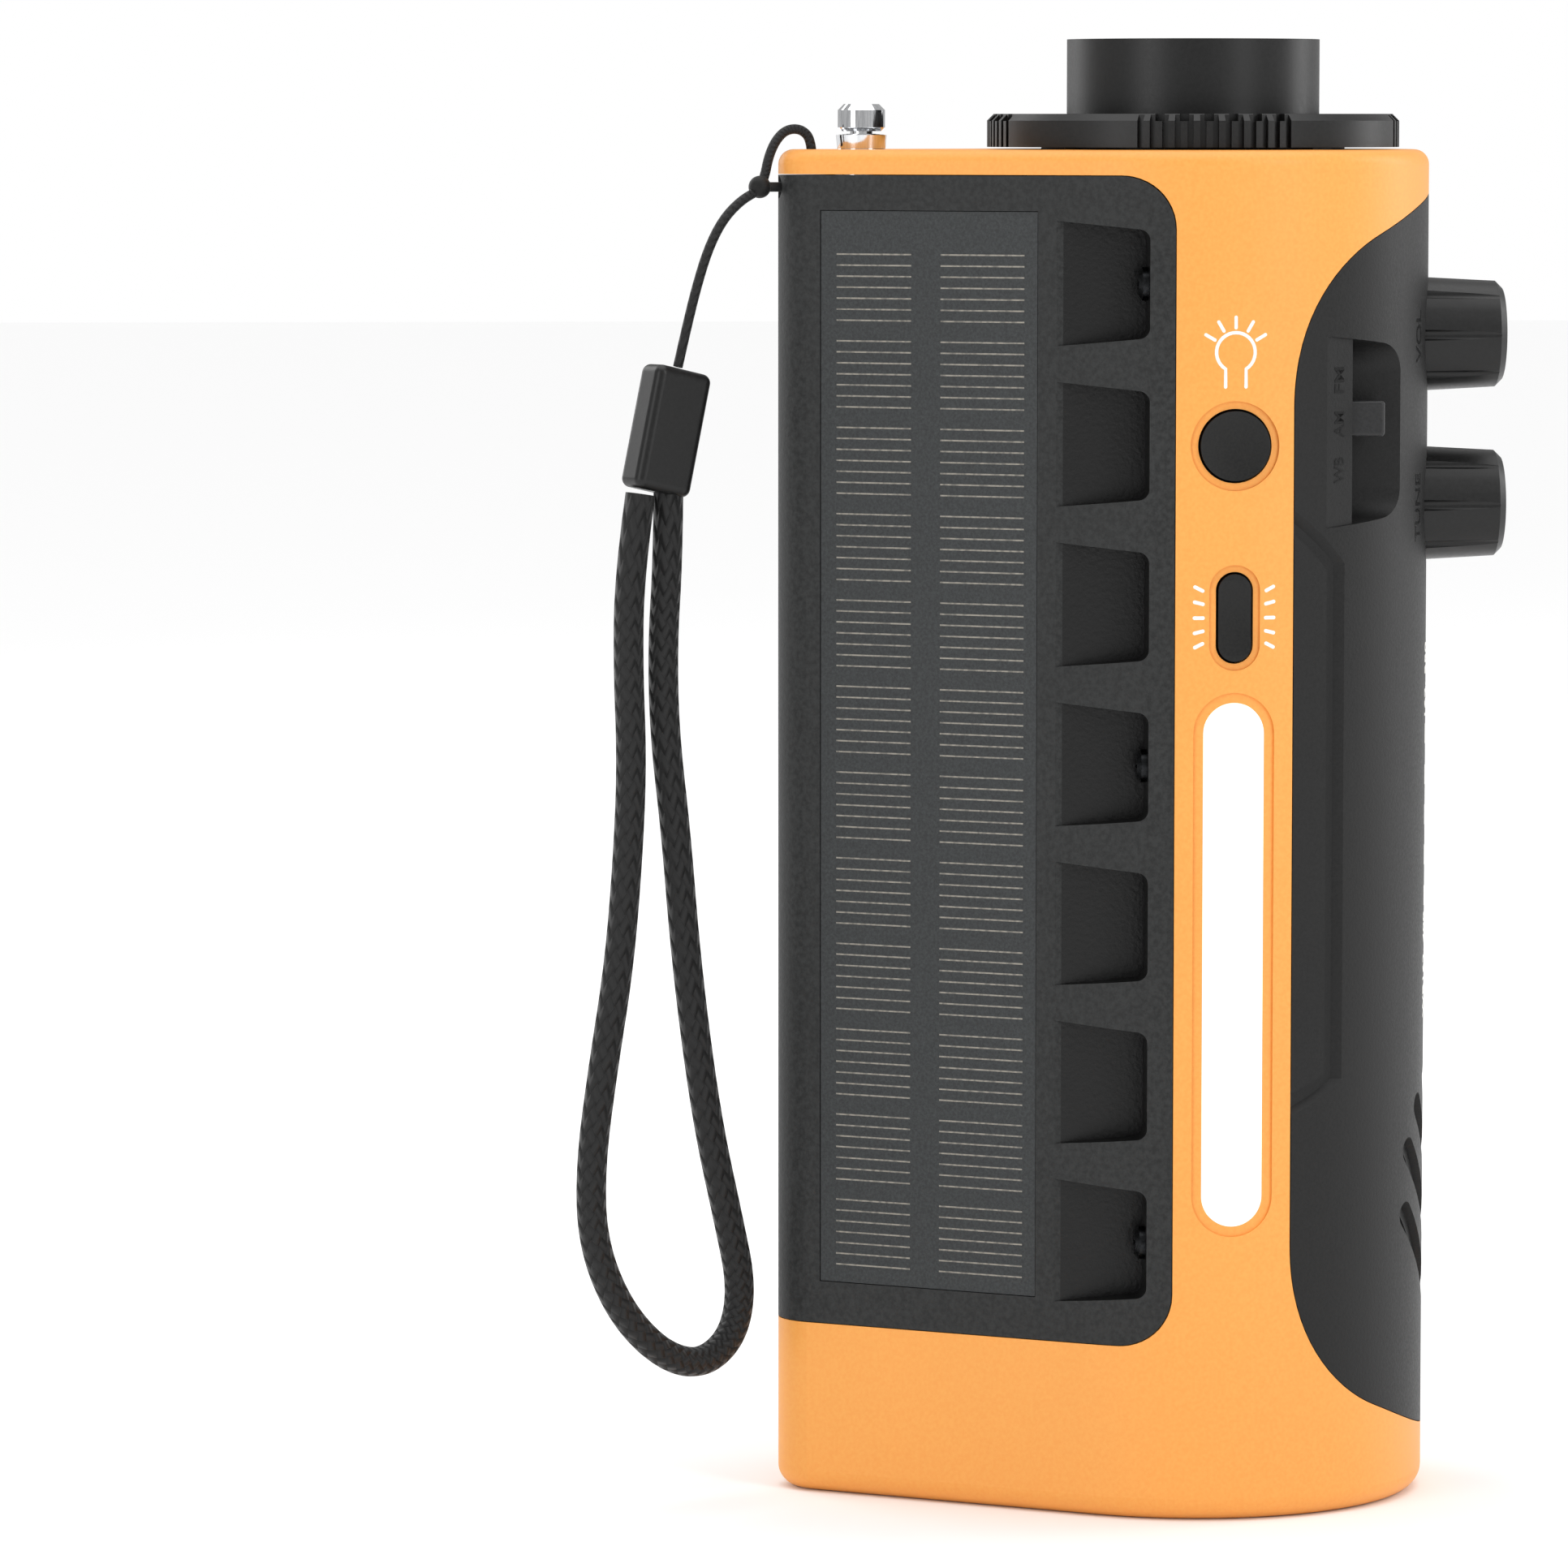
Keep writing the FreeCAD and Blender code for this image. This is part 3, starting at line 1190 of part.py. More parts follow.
THREAD_ROUTE = [
    (51.0, 178.6), (51.05, 181.2), (52.4, 182.7), (54.4, 182.65), (55.9, 181.2), (56.9, 178.95),
    (57.4, 176.4), (58.3, 174.5), (60.6, 173.3), (63.1, 170.8), (65.1, 167.0), (66.7, 162.0),
    (68.1, 156.5), (69.3, 151.3),
]
BRAID_ROUTE = [
    (74.4, 134.6), (75.9, 124.0), (76.1, 112.0), (75.6, 99.0), (76.2, 86.0), (77.4, 72.0),
    (79.6, 58.5), (81.3, 46.0), (81.1, 35.5), (77.6, 26.2), (72.0, 19.6), (66.4, 17.4),
    (61.9, 20.8), (60.6, 27.6), (62.5, 37.0), (65.0, 48.5), (66.9, 61.0), (68.5, 75.0),
    (69.6, 89.0), (71.2, 103.0), (71.4, 115.0), (70.7, 125.5), (70.6, 135.0),
]


def leaning(route):
    points = []
    for y, z in route:
        lean = S.strap_lean.value * max(0.0, y - S.strap_start.value)
        points.append(Vector(-lean, y, z))
    return points


def cord(label, points, radius):
    """A tube along straight runs joined by tangent arcs; it prints its radii and compares its volume."""
    edges, radii, start = [], [], points[0]
    for before, corner, after in zip(points, points[1:], points[2:]):
        back, ahead = (before - corner), (after - corner)
        shorter = min(back.Length, ahead.Length)
        back.normalize()
        ahead.normalize()
        turn = math.pi - back.getAngle(ahead)
        reach = 0.45 * shorter
        radii.append(reach / math.tan(turn / 2))
        first, last = corner + back * reach, corner + ahead * reach
        bisector = (back + ahead).normalize()
        centre_far = radii[-1] / math.cos(turn / 2)
        middle = corner + bisector * (centre_far - radii[-1])
        edges += [Part.LineSegment(start, first).toShape(), Part.Arc(first, middle, last).toShape()]
        start = last
    edges.append(Part.LineSegment(start, points[-1]).toShape())
    path = Part.Wire(edges)
    section = Part.Wire(Part.makeCircle(radius, points[0], points[1] - points[0]))
    strand = doc.addObject("Part::Feature", label)
    strand.Shape = path.makePipeShell([section], True, False)
    expected = math.pi * radius ** 2 * path.Length
    print(f"{label}: length {path.Length:.1f}, radii", " ".join(f"{r:.1f}" for r in radii))
    print(f"{label}: volume {strand.Shape.Volume:.1f}, section times length {expected:.1f}")
    return sub_part(label, strand)


def wrist_cord():
    cord("strap_thread", leaning(THREAD_ROUTE), S.thread_radius.value)
    cord("strap_braid", leaning(BRAID_ROUTE), S.braid_radius.value)
    knot = leaning([(58.1, 175.0)])[0]
    stub = doc.addObject("Part::Feature", "Stub")
    start = Vector(-0.6, 53.0, 175.0)
    stub.Shape = Part.makeCylinder(S.thread_radius.value, (knot - start).Length, start, knot - start)
    sub_part("strap_knot", fuse(ball(knot.x, knot.y, knot.z, 1.5), stub))
    low, high = leaning([(72.5, 134.8), (69.3, 151.0)])
    slope = high - low
    size = (8.6, 5.2, slope.Length)
    slider = box((0, size[0]), (0, size[1]), (0, size[2]))
    slider = rounded(slider, as_size(1.2), lambda place, spans: True)
    sideways = Vector(-S.strap_lean.value, 1, 0).normalize()
    turn = Rotation(sideways, Vector(), slope, "ZXY")
    corner = low - turn.multVec(Vector(size[0] / 2, size[1] / 2, 0))
    put(slider, corner.x, corner.y, corner.z, turn)
    sub_part("strap_slider", slider)


case_shell()
front_cover()
rear_cover()
cover_screws()
solar_panel()
volume_knob()
tuning_knob()
pot("volume_pot", S.volume_z, as_size(6.5))
pot("tuning_capacitor", S.tuning_z, as_size(7.5))
tuning_drum()
dial_idler()
dial_frame()
dial_pointer()
dial_cord()
main_board()
board_screws()
speaker()
band_switch()
battery_lights()
ferrite_aerial()
battery()
focus_ring()
torch()
lamp_side()
aerial()
crank_arm()
crank_screw()
grip()
gearbox()
sockets()
wrist_cord()
doc.recompute()

for thing in doc.Objects:
    if "Invalid" in thing.State or "Error" in thing.State:
        raise RuntimeError(f"{thing.Name} ({thing.Label}) failed: {thing.State}")
for label, thing in PARTS:
    shape = thing.Shape
    if shape.isNull() or not shape.isValid() or not shape.Solids:
        raise RuntimeError(f"{label} has no valid solid")
os.makedirs("parts", exist_ok=True)
for label, thing in PARTS:
    thing.Shape.exportStep(f"parts/{label}.step")
print(len(PARTS), "sub-parts")
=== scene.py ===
import math

import bmesh
import bpy
from mathutils import Matrix, Vector


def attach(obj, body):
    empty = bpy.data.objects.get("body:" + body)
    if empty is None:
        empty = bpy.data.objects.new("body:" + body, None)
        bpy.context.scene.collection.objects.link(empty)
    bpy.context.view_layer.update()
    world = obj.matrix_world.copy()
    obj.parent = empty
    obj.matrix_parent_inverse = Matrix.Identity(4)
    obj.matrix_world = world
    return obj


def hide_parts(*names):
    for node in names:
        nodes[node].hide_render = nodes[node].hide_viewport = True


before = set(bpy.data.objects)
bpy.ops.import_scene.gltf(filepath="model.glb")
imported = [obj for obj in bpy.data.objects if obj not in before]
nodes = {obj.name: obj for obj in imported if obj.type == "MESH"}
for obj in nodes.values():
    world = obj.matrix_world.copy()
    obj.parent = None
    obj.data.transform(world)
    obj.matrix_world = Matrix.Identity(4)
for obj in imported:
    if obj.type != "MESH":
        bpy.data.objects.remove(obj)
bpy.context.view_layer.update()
mm = 0.001
print("frame loaded:", len(nodes), "nodes")


def linearColour(hexCode):
    parts = [int(hexCode[i:i + 2], 16) / 255 for i in (1, 3, 5)]
    return [c / 12.92 if c <= 0.04045 else ((c + 0.055) / 1.055) ** 2.4 for c in parts] + [1.0]


def addNode(tree, kind, links=None, **settings):
    node = tree.nodes.new(kind)
    for name, value in settings.items():
        setattr(node, name, value)
    for socket, source in (links or {}).items():
        if isinstance(source, bpy.types.Node):
            source = source.outputs[0]
        if isinstance(source, bpy.types.NodeSocket):
            tree.links.new(source, node.inputs[socket])
        else:
            node.inputs[socket].default_value = source
    return node


def newFinish(name, **shaderValues):
    finish = bpy.data.materials.new(name)
    finish.use_nodes = True
    shader = finish.node_tree.nodes["Principled BSDF"]
    for socket, value in shaderValues.items():
        shader.inputs[socket.replace("_", " ")].default_value = value
    return finish, finish.node_tree, shader


cloudSize = 30  # millimetres across the slow change of shade in every plain finish


# Moulded, cast and coated surfaces: a grain of a real size in millimetres tints, roughens and dents the base.
def grainedFinish(look):
    finish, tree, shader = newFinish(look["name"], Metallic=look.get("metallic", 0.0))
    if not look.get("metallic"):
        shader.inputs["IOR"].default_value = look.get("ior", 1.5)
    shader.inputs["Specular IOR Level"].default_value = look.get("shine", 0.5)
    place = addNode(tree, "ShaderNodeTexCoord").outputs["Object"]
    stretch = addNode(tree, "ShaderNodeMapping", {0: place, 3: look.get("stretch", (1, 1, 1))})
    grain = addNode(tree, "ShaderNodeTexNoise", {
        0: stretch, "Scale": 1000 / look["grain"], "Detail": 3.0, "Roughness": 0.6,
    })
    cloud = addNode(tree, "ShaderNodeTexNoise", {0: place, "Scale": 1000 / cloudSize, "Detail": 2.0})
    blend = addNode(tree, "ShaderNodeMix", {
        0: addNode(tree, "ShaderNodeMapRange", {0: grain, 1: 0.35, 2: 0.65}),
        6: linearColour(look["base"]), 7: linearColour(look["accent"]),
    }, data_type="RGBA")
    tint = addNode(tree, "ShaderNodeMapRange", {
        0: cloud, 1: 0.3, 2: 0.7, 3: 1 - look.get("shade", 0.04), 4: 1.0,
    })
    colour = addNode(tree, "ShaderNodeMix", {
        0: 1.0, 6: blend.outputs[2], 7: tint,
    }, data_type="RGBA", blend_type="MULTIPLY")
    low, high = look["roughness"]
    rough = addNode(tree, "ShaderNodeMapRange", {0: grain, 1: 0.3, 2: 0.7, 3: low, 4: high})
    dent = addNode(tree, "ShaderNodeBump", {"Height": grain, "Strength": 1.0, "Distance": look["depth"] * mm})
    tree.links.new(colour.outputs[2], shader.inputs["Base Color"])
    tree.links.new(rough.outputs[0], shader.inputs["Roughness"])
    tree.links.new(dent.outputs[0], shader.inputs["Normal"])
    return finish


plastics = {
    # Satin injection-moulded ABS: even colour, broad soft highlights
    "orangeAbs": {
        "name": "orange moulded ABS", "base": "#f0a04a", "accent": "#f2a751",
        "roughness": (0.4, 0.48), "grain": 0.5, "depth": 0.005, "shade": 0.03, "shine": 0.4,
    },
    # Spark-eroded ABS: a leathery grain that breaks up every highlight
    "grainedAbs": {
        "name": "black spark-eroded ABS", "base": "#151616", "accent": "#2c2d2d",
        "roughness": (0.5, 0.66), "grain": 0.7, "depth": 0.075, "shade": 0.12, "shine": 0.36,
    },
    # The same plastic with a finer grain on the front half
    "fineAbs": {
        "name": "black fine-grained ABS", "base": "#0d0d0d", "accent": "#181818",
        "roughness": (0.42, 0.56), "grain": 0.42, "depth": 0.03, "shade": 0.1, "shine": 0.32,
    },
    # Smooth ABS of the turned-looking pieces: long soft highlights
    "satinAbs": {
        "name": "black satin ABS", "base": "#0b0b0b", "accent": "#121212", "roughness": (0.34, 0.42),
        "grain": 0.5, "depth": 0.008, "shade": 0.05, "shine": 0.38,
    },
    # Silicone rubber keys: dull, a little greyer than the plastic
    "keyRubber": {
        "name": "black silicone rubber", "base": "#101010", "accent": "#191918",
        "roughness": (0.42, 0.52), "grain": 0.3, "depth": 0.006, "ior": 1.42, "shine": 0.4,
    },
    "greyAbs": {
        "name": "dark grey ABS", "base": "#1a1a1b", "accent": "#242425", "roughness": (0.35, 0.45),
        "grain": 0.4, "depth": 0.01, "shine": 0.4,
    },
    "pointerOrange": {
        "name": "fluorescent orange acrylic", "base": "#ff5a1c", "accent": "#ff7433",
        "roughness": (0.25, 0.3), "grain": 0.8, "depth": 0.002,
    },
    "whiteNylon": {
        "name": "natural nylon", "base": "#ddd9cc", "accent": "#ebe7dc", "roughness": (0.4, 0.5),
        "grain": 0.6, "depth": 0.01,
    },
    "solderMask": {
        "name": "green solder mask on FR4", "base": "#0f4a25", "accent": "#175c31",
        "roughness": (0.28, 0.4), "grain": 0.9, "depth": 0.01,
    },
    "ferrite": {
        "name": "sintered ferrite", "base": "#2b2927", "accent": "#38352f", "roughness": (0.5, 0.7),
        "grain": 0.35, "depth": 0.02,
    },
    "conePaper": {
        "name": "pressed paper cone", "base": "#171716", "accent": "#242321",
        "roughness": (0.8, 0.95), "grain": 0.5, "depth": 0.06,
    },
    "cellFilm": {
        "name": "blue shrink film", "base": "#1d4f8c", "accent": "#2259a0", "roughness": (0.22, 0.3),
        "grain": 2.5, "depth": 0.02,
    },
    "whiteInk": {
        "name": "white pad-printed ink", "base": "#f1efe9", "accent": "#fbfaf6",
        "roughness": (0.45, 0.55), "grain": 0.3, "depth": 0.003,
    },
    # Moulded marks: polished, and coloured darker than the plastic round them as painted shade
    "paintedShadeMark": {
        "name": "polished black ABS with painted shade", "base": "#070707", "accent": "#0c0c0c",
        "roughness": (0.25, 0.35), "grain": 0.5, "depth": 0.003, "shine": 0.3,
    },
}
metals = {
    # Bright nickel-chrome plate: mirror-like with faint lengthwise draw lines
    "chromePlate": {
        "name": "chrome plate on brass", "base": "#d3d4d6", "accent": "#e6e7e9",
        "roughness": (0.06, 0.14), "grain": 0.25, "depth": 0.002, "metallic": 1.0,
        "stretch": (1, 1, 0.06),
    },
    "zincScrew": {
        "name": "zinc-plated steel", "base": "#85878a", "accent": "#a2a3a5", "roughness": (0.25, 0.4),
        "grain": 0.4, "depth": 0.008, "metallic": 1.0,
    },
    "blackScrew": {
        "name": "black oxide steel", "base": "#222324", "accent": "#2f3032",
        "roughness": (0.25, 0.38), "grain": 0.4, "depth": 0.008, "metallic": 1.0,
    },
    "brass": {
        "name": "turned brass", "base": "#c39a4e", "accent": "#d4ad63", "roughness": (0.2, 0.35),
        "grain": 0.3, "depth": 0.004, "metallic": 1.0,
    },
    # Enamelled wire, wound tight: fine rings round the rod
    "copperWire": {
        "name": "enamelled copper wire", "base": "#a4501f", "accent": "#c46a34",
        "roughness": (0.2, 0.35), "grain": 0.35, "depth": 0.05, "metallic": 1.0,
        "stretch": (0.05, 0.05, 1),
    },
}
finishes = {key: grainedFinish(look) for key, look in {**plastics, **metals}.items()}
print("plain finishes made")


# Laminated solar cells: a dark speckled film with printed silver fingers in groups of seven, two cells wide
solar = {
    "film": "#232526", "speckle": "#343738", "finger": "#8f8a80",
    "top": 166.2, "group": 11.47, "pitch": 1.456, "fingers": 7, "half": 0.1,
    "front": (10.0, 22.2), "rear": (26.5, 37.5), "slant": 59.658,
    "inkScale": 1400.0, "filmScale": 2600.0, "dent": 0.02,
}


def solarFinish():
    finish, tree, shader = newFinish("laminated solar cells", Roughness=0.46, IOR=1.5,
                                     Specular_IOR_Level=0.36)
    place = addNode(tree, "ShaderNodeTexCoord").outputs["Object"]
    turned = addNode(tree, "ShaderNodeMapping", {
        0: place, 2: (0, 0, math.radians(-solar["slant"])), 3: (1000, 1000, 1000),
    })
    axes = addNode(tree, "ShaderNodeSeparateXYZ", {0: turned})
    along, height = axes.outputs["X"], axes.outputs["Z"]
    highest = solar["top"] + solar["pitch"] / 2
    below = addNode(tree, "ShaderNodeMath", {0: highest, 1: height}, operation="SUBTRACT")
    inGroup = addNode(tree, "ShaderNodeMath", {0: below, 1: solar["group"]}, operation="MODULO")
    inPitch = addNode(tree, "ShaderNodeMath", {0: inGroup, 1: solar["pitch"]}, operation="MODULO")
    onFinger = addNode(tree, "ShaderNodeMath", {
        0: inPitch, 1: solar["pitch"] / 2, 2: solar["half"],
    }, operation="COMPARE")
    counted = addNode(tree, "ShaderNodeMath", {
        0: inGroup, 1: solar["pitch"] * solar["fingers"],
    }, operation="LESS_THAN")
    started = addNode(tree, "ShaderNodeMath", {0: below, 1: 0.0}, operation="GREATER_THAN")
    line = addNode(tree, "ShaderNodeMath", {0: onFinger, 1: counted}, operation="MULTIPLY")
    line = addNode(tree, "ShaderNodeMath", {0: line, 1: started}, operation="MULTIPLY")
    cells = []
    for start, end in (solar["front"], solar["rear"]):
        middle, half = (start + end) / 2, (end - start) / 2
        inside = addNode(tree, "ShaderNodeMath", {0: along, 1: middle, 2: half}, operation="COMPARE")
        cells.append(inside)
    inCell = addNode(tree, "ShaderNodeMath", {0: cells[0], 1: cells[1]}, operation="MAXIMUM")
    line = addNode(tree, "ShaderNodeMath", {0: line, 1: inCell}, operation="MULTIPLY")
    broken = addNode(tree, "ShaderNodeTexNoise", {0: place, "Scale": solar["inkScale"], "Detail": 2.0})
    broken = addNode(tree, "ShaderNodeMapRange", {0: broken, 1: 0.35, 2: 0.6, 3: 0.45, 4: 1.0})
    line = addNode(tree, "ShaderNodeMath", {0: line, 1: broken}, operation="MULTIPLY")
    speckle = addNode(tree, "ShaderNodeTexNoise", {
        0: place, "Scale": solar["filmScale"], "Detail": 3.0, "Roughness": 0.7,
    })
    mottled = addNode(tree, "ShaderNodeMapRange", {0: speckle, 1: 0.35, 2: 0.68})
    film = addNode(tree, "ShaderNodeMix", {
        0: mottled, 6: linearColour(solar["film"]), 7: linearColour(solar["speckle"]),
    }, data_type="RGBA")
    colour = addNode(tree, "ShaderNodeMix", {
        0: line, 6: film.outputs[2], 7: linearColour(solar["finger"]),
    }, data_type="RGBA")
    dent = addNode(tree, "ShaderNodeBump", {
        "Height": speckle, "Strength": 1.0, "Distance": solar["dent"] * mm,
    })
    tree.links.new(colour.outputs[2], shader.inputs["Base Color"])
    tree.links.new(dent.outputs[0], shader.inputs["Normal"])
    return finish


# Opal acrylic with light behind it: an even glow with hardly any shading
def glowFinish(name, hexCode, strength):
    finish, tree, shader = newFinish(name, Roughness=0.35, IOR=1.49)
    place = addNode(tree, "ShaderNodeTexCoord").outputs["Object"]
    cloud = addNode(tree, "ShaderNodeTexNoise", {0: place, "Scale": 60.0, "Detail": 1.0})
    glow = addNode(tree, "ShaderNodeMapRange", {0: cloud, 1: 0.3, 2: 0.7, 3: strength * 0.94, 4: strength})
    shader.inputs["Base Color"].default_value = linearColour(hexCode)
    shader.inputs["Emission Color"].default_value = linearColour(hexCode)
    tree.links.new(glow.outputs[0], shader.inputs["Emission Strength"])
    return finish


# Clear polycarbonate lens: only its edges and reflections show
def clearFinish():
    finish, tree, shader = newFinish("clear polycarbonate", Roughness=0.02, IOR=1.58, Transmission_Weight=1.0)
    place = addNode(tree, "ShaderNodeTexCoord").outputs["Object"]
    ripple = addNode(tree, "ShaderNodeTexNoise", {0: place, "Scale": 250.0})
    dent = addNode(tree, "ShaderNodeBump", {"Height": ripple, "Strength": 0.2, "Distance": 0.01 * mm})
    tree.links.new(dent.outputs[0], shader.inputs["Normal"])
    return finish


# Braided polyester: diagonal strands pass over and under each other round the cord, with painted shade where
# each strand dips under its neighbour
weaves = {  # cord length, strands round it, strand crossing and bump depth, in millimetres
    "braid": {"name": "braided polyester cord", "length": 246, "strands": 8, "cell": 2.6, "depth": 0.28},
    "thread": {"name": "twisted nylon thread", "length": 43, "strands": 3, "cell": 0.9, "depth": 0.12},
}


def braidFinish(look):
    finish, tree, shader = newFinish(look["name"], Roughness=0.6, IOR=1.5, Specular_IOR_Level=0.35,
                                     Sheen_Weight=0.12, Sheen_Roughness=0.4)
    axes = addNode(tree, "ShaderNodeSeparateXYZ", {0: addNode(tree, "ShaderNodeTexCoord").outputs["UV"]})
    crossings, strands = look["length"] / look["cell"], float(look["strands"])
    down = addNode(tree, "ShaderNodeMath", {0: axes.outputs["X"], 1: crossings}, operation="MULTIPLY")
    across = addNode(tree, "ShaderNodeMath", {0: axes.outputs["Y"], 1: strands}, operation="MULTIPLY")
    ways, floors = [], []
    for operation in ("ADD", "SUBTRACT"):
        way = addNode(tree, "ShaderNodeMath", {0: across, 1: down}, operation=operation)
        part = addNode(tree, "ShaderNodeMath", {0: way}, operation="FRACT")
        turn = addNode(tree, "ShaderNodeMath", {0: part, 1: math.pi}, operation="MULTIPLY")
        ways.append(addNode(tree, "ShaderNodeMath", {0: turn}, operation="SINE"))
        floors.append(addNode(tree, "ShaderNodeMath", {0: way}, operation="FLOOR"))
    both = addNode(tree, "ShaderNodeMath", {0: floors[0], 1: floors[1]}, operation="ADD")
    over = addNode(tree, "ShaderNodeMath", {0: both, 1: 2.0}, operation="FLOORED_MODULO")
    height = addNode(tree, "ShaderNodeMix", {0: over, 2: ways[0], 3: ways[1]})
    # Painted shade: the colour follows the bump height, near-black where a strand dips and dark grey on its
    # crown
    colour = addNode(tree, "ShaderNodeMix", {
        0: height.outputs[0], 6: linearColour("#040404"), 7: linearColour("#1a1a1a"),
    }, data_type="RGBA")
    dent = addNode(tree, "ShaderNodeBump", {
        "Height": height.outputs[0], "Strength": 1.0, "Distance": look["depth"] * mm,
    })
    tree.links.new(colour.outputs[2], shader.inputs["Base Color"])
    tree.links.new(dent.outputs[0], shader.inputs["Normal"])
    return finish


# The rear cover's screw pockets are smooth where the outside is grained, and coloured near-black as painted
# shade in the recess: what lies inside the outline
pocket = {"inner": 31.38, "slant": 30.342, "base": "#060606", "roughness": 0.4}


def pocketsSmoothAndShaded(finish):
    tree = finish.node_tree
    shader = tree.nodes["Principled BSDF"]
    place = addNode(tree, "ShaderNodeTexCoord").outputs["Object"]
    scaled = addNode(tree, "ShaderNodeMapping", {0: place, 3: (1000, 1000, 1000)})
    axes = addNode(tree, "ShaderNodeSeparateXYZ", {0: scaled})
    side = addNode(tree, "ShaderNodeMath", {0: axes.outputs["X"]}, operation="ABSOLUTE")
    slant = math.radians(pocket["slant"])
    across = addNode(tree, "ShaderNodeMath", {0: side, 1: math.cos(slant)}, operation="MULTIPLY")
    outward = addNode(tree, "ShaderNodeMath", {
        0: axes.outputs["Y"], 1: math.sin(slant), 2: across,
    }, operation="MULTIPLY_ADD")
    flat = addNode(tree, "ShaderNodeCombineXYZ", {0: axes.outputs["X"], 1: axes.outputs["Y"]})
    reach = addNode(tree, "ShaderNodeVectorMath", {0: flat}, operation="LENGTH")
    furthest = addNode(tree, "ShaderNodeMath", {
        0: outward, 1: reach.outputs["Value"],
    }, operation="MAXIMUM")
    inside = addNode(tree, "ShaderNodeMath", {0: furthest, 1: pocket["inner"]}, operation="LESS_THAN")
    grained = {name: shader.inputs[name].links[0].from_socket for name in ("Base Color", "Roughness")}
    # Painted shade: the pockets are coloured near-black; only the lower roughness is their own smooth finish
    colour = addNode(tree, "ShaderNodeMix", {
        0: inside, 6: grained["Base Color"], 7: linearColour(pocket["base"]),
    }, data_type="RGBA")
    rough = addNode(tree, "ShaderNodeMix", {
        0: inside, 2: grained["Roughness"], 3: pocket["roughness"],
    }, data_type="FLOAT")
    tree.links.new(colour.outputs[2], shader.inputs["Base Color"])
    tree.links.new(rough.outputs[0], shader.inputs["Roughness"])


pocketsSmoothAndShaded(finishes["grainedAbs"])
finishes["solarFilm"] = solarFinish()
finishes["opalLamp"] = glowFinish("lit opal acrylic", "#fff1e2", 0.5)
finishes["litPipe"] = glowFinish("lit white light pipe", "#fffdf8", 1.6)
finishes["clearLens"] = clearFinish()
finishes["braid"] = braidFinish(weaves["braid"])
finishes["thread"] = braidFinish(weaves["thread"])

nodeFinishes = {
    "orangeAbs": ["case_shell"],
    "grainedAbs": ["rear_cover"],
    "fineAbs": ["front_cover"],
    "satinAbs": ["volume_knob", "tuning_knob", "focus_ring", "torch_barrel", "crank_arm", "grip_post",
                 "grip_sleeve", "strap_slider", "battery_holder"],
    "keyRubber": ["lamp_button", "sos_button", "socket_cover"],
    "greyAbs": ["band_slider", "dial_frame", "torch_carrier", "gearbox_frame", "tuning_capacitor"],
    "pointerOrange": ["dial_pointer"],
    "whiteNylon": ["tuning_drum", "dial_idler", "crank_gear", "compound_gear", "ring_clip"],
    "solderMask": ["main_board", "light_board", "lamp_board", "button_board"],
    "ferrite": ["ferrite_rod"],
    "copperWire": ["ferrite_coil"],
    "conePaper": ["speaker_cone"],
    "cellFilm": ["battery_cell"],
    "chromePlate": ["aerial_tube", "aerial_section_a", "aerial_section_b", "aerial_section_c",
                    "aerial_tip", "reflector"],
    "blackScrew": ["cover_screws", "crank_screw"],
    "zincScrew": ["board_screws", "carrier_screws", "volume_pot", "speaker_basket", "band_switch",
                  "battery_contacts", "generator", "sockets"],
    "brass": ["rotor_pinion"],
    "solarFilm": ["solar_panel"],
    "opalLamp": ["lamp_lens"],
    "litPipe": ["indicator_lights", "torch_light"],
    "clearLens": ["torch_lens"],
    "braid": ["strap_braid", "strap_knot", "dial_cord"],
    "thread": ["strap_thread"],
}
for key, names in nodeFinishes.items():
    for name in names:
        for slot in nodes[name].material_slots:
            slot.material = finishes[key]
print("nodes finished:", sum(len(names) for names in nodeFinishes.values()))


def newPiece(name, mesh, finish, body):
    piece = bpy.data.objects.new(name, mesh)
    bpy.context.scene.collection.objects.link(piece)
    mesh.materials.clear()
    mesh.materials.append(finishes[finish])
    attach(piece, body)
    return piece


# The wrist cord's route in millimetres, behind and above, with the lean to the side that the nose gives it
strap = {
    "lean": 0.55, "leanStart": 54.0, "braidRadius": 2.0, "threadRadius": 0.65,
    "braidLength": 0.2462, "threadLength": 0.0432,  # metres
}
threadRoute = [
    (51.0, 178.6), (51.05, 181.2), (52.4, 182.7), (54.4, 182.65), (55.9, 181.2), (56.9, 178.95),
    (57.4, 176.4), (58.3, 174.5), (60.6, 173.3), (63.1, 170.8), (65.1, 167.0), (66.7, 162.0),
    (68.1, 156.5), (69.3, 151.3),
]
braidRoute = [
    (74.4, 134.6), (75.9, 124.0), (76.1, 112.0), (75.6, 99.0), (76.2, 86.0), (77.4, 72.0),
    (79.6, 58.5), (81.3, 46.0), (81.1, 35.5), (77.6, 26.2), (72.0, 19.6), (66.4, 17.4),
    (61.9, 20.8), (60.6, 27.6), (62.5, 37.0), (65.0, 48.5), (66.9, 61.0), (68.5, 75.0),
    (69.6, 89.0), (71.2, 103.0), (71.4, 115.0), (70.7, 125.5), (70.6, 135.0),
]


def leaning(route):
    return [Vector((-strap["lean"] * max(0.0, y - strap["leanStart"]), y, z)) * mm for y, z in route]


def cordPiece(name, points, radius, finish):
    curve = bpy.data.curves.new(name, "CURVE")
    curve.dimensions = "3D"
    spline = curve.splines.new("NURBS")
    spline.points.add(len(points) - 1)
    for control, point in zip(spline.points, points):
        control.co = (*point, 1)
    spline.order_u = 3
    spline.use_endpoint_u = True
    spline.resolution_u = 12
    curve.bevel_depth = radius * mm
    curve.bevel_resolution = 6
    curve.use_fill_caps = True
    cord = bpy.data.objects.new(name, curve)
    bpy.context.scene.collection.objects.link(cord)
    curve.materials.append(finishes[finish])
    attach(cord, "case")
    return cord


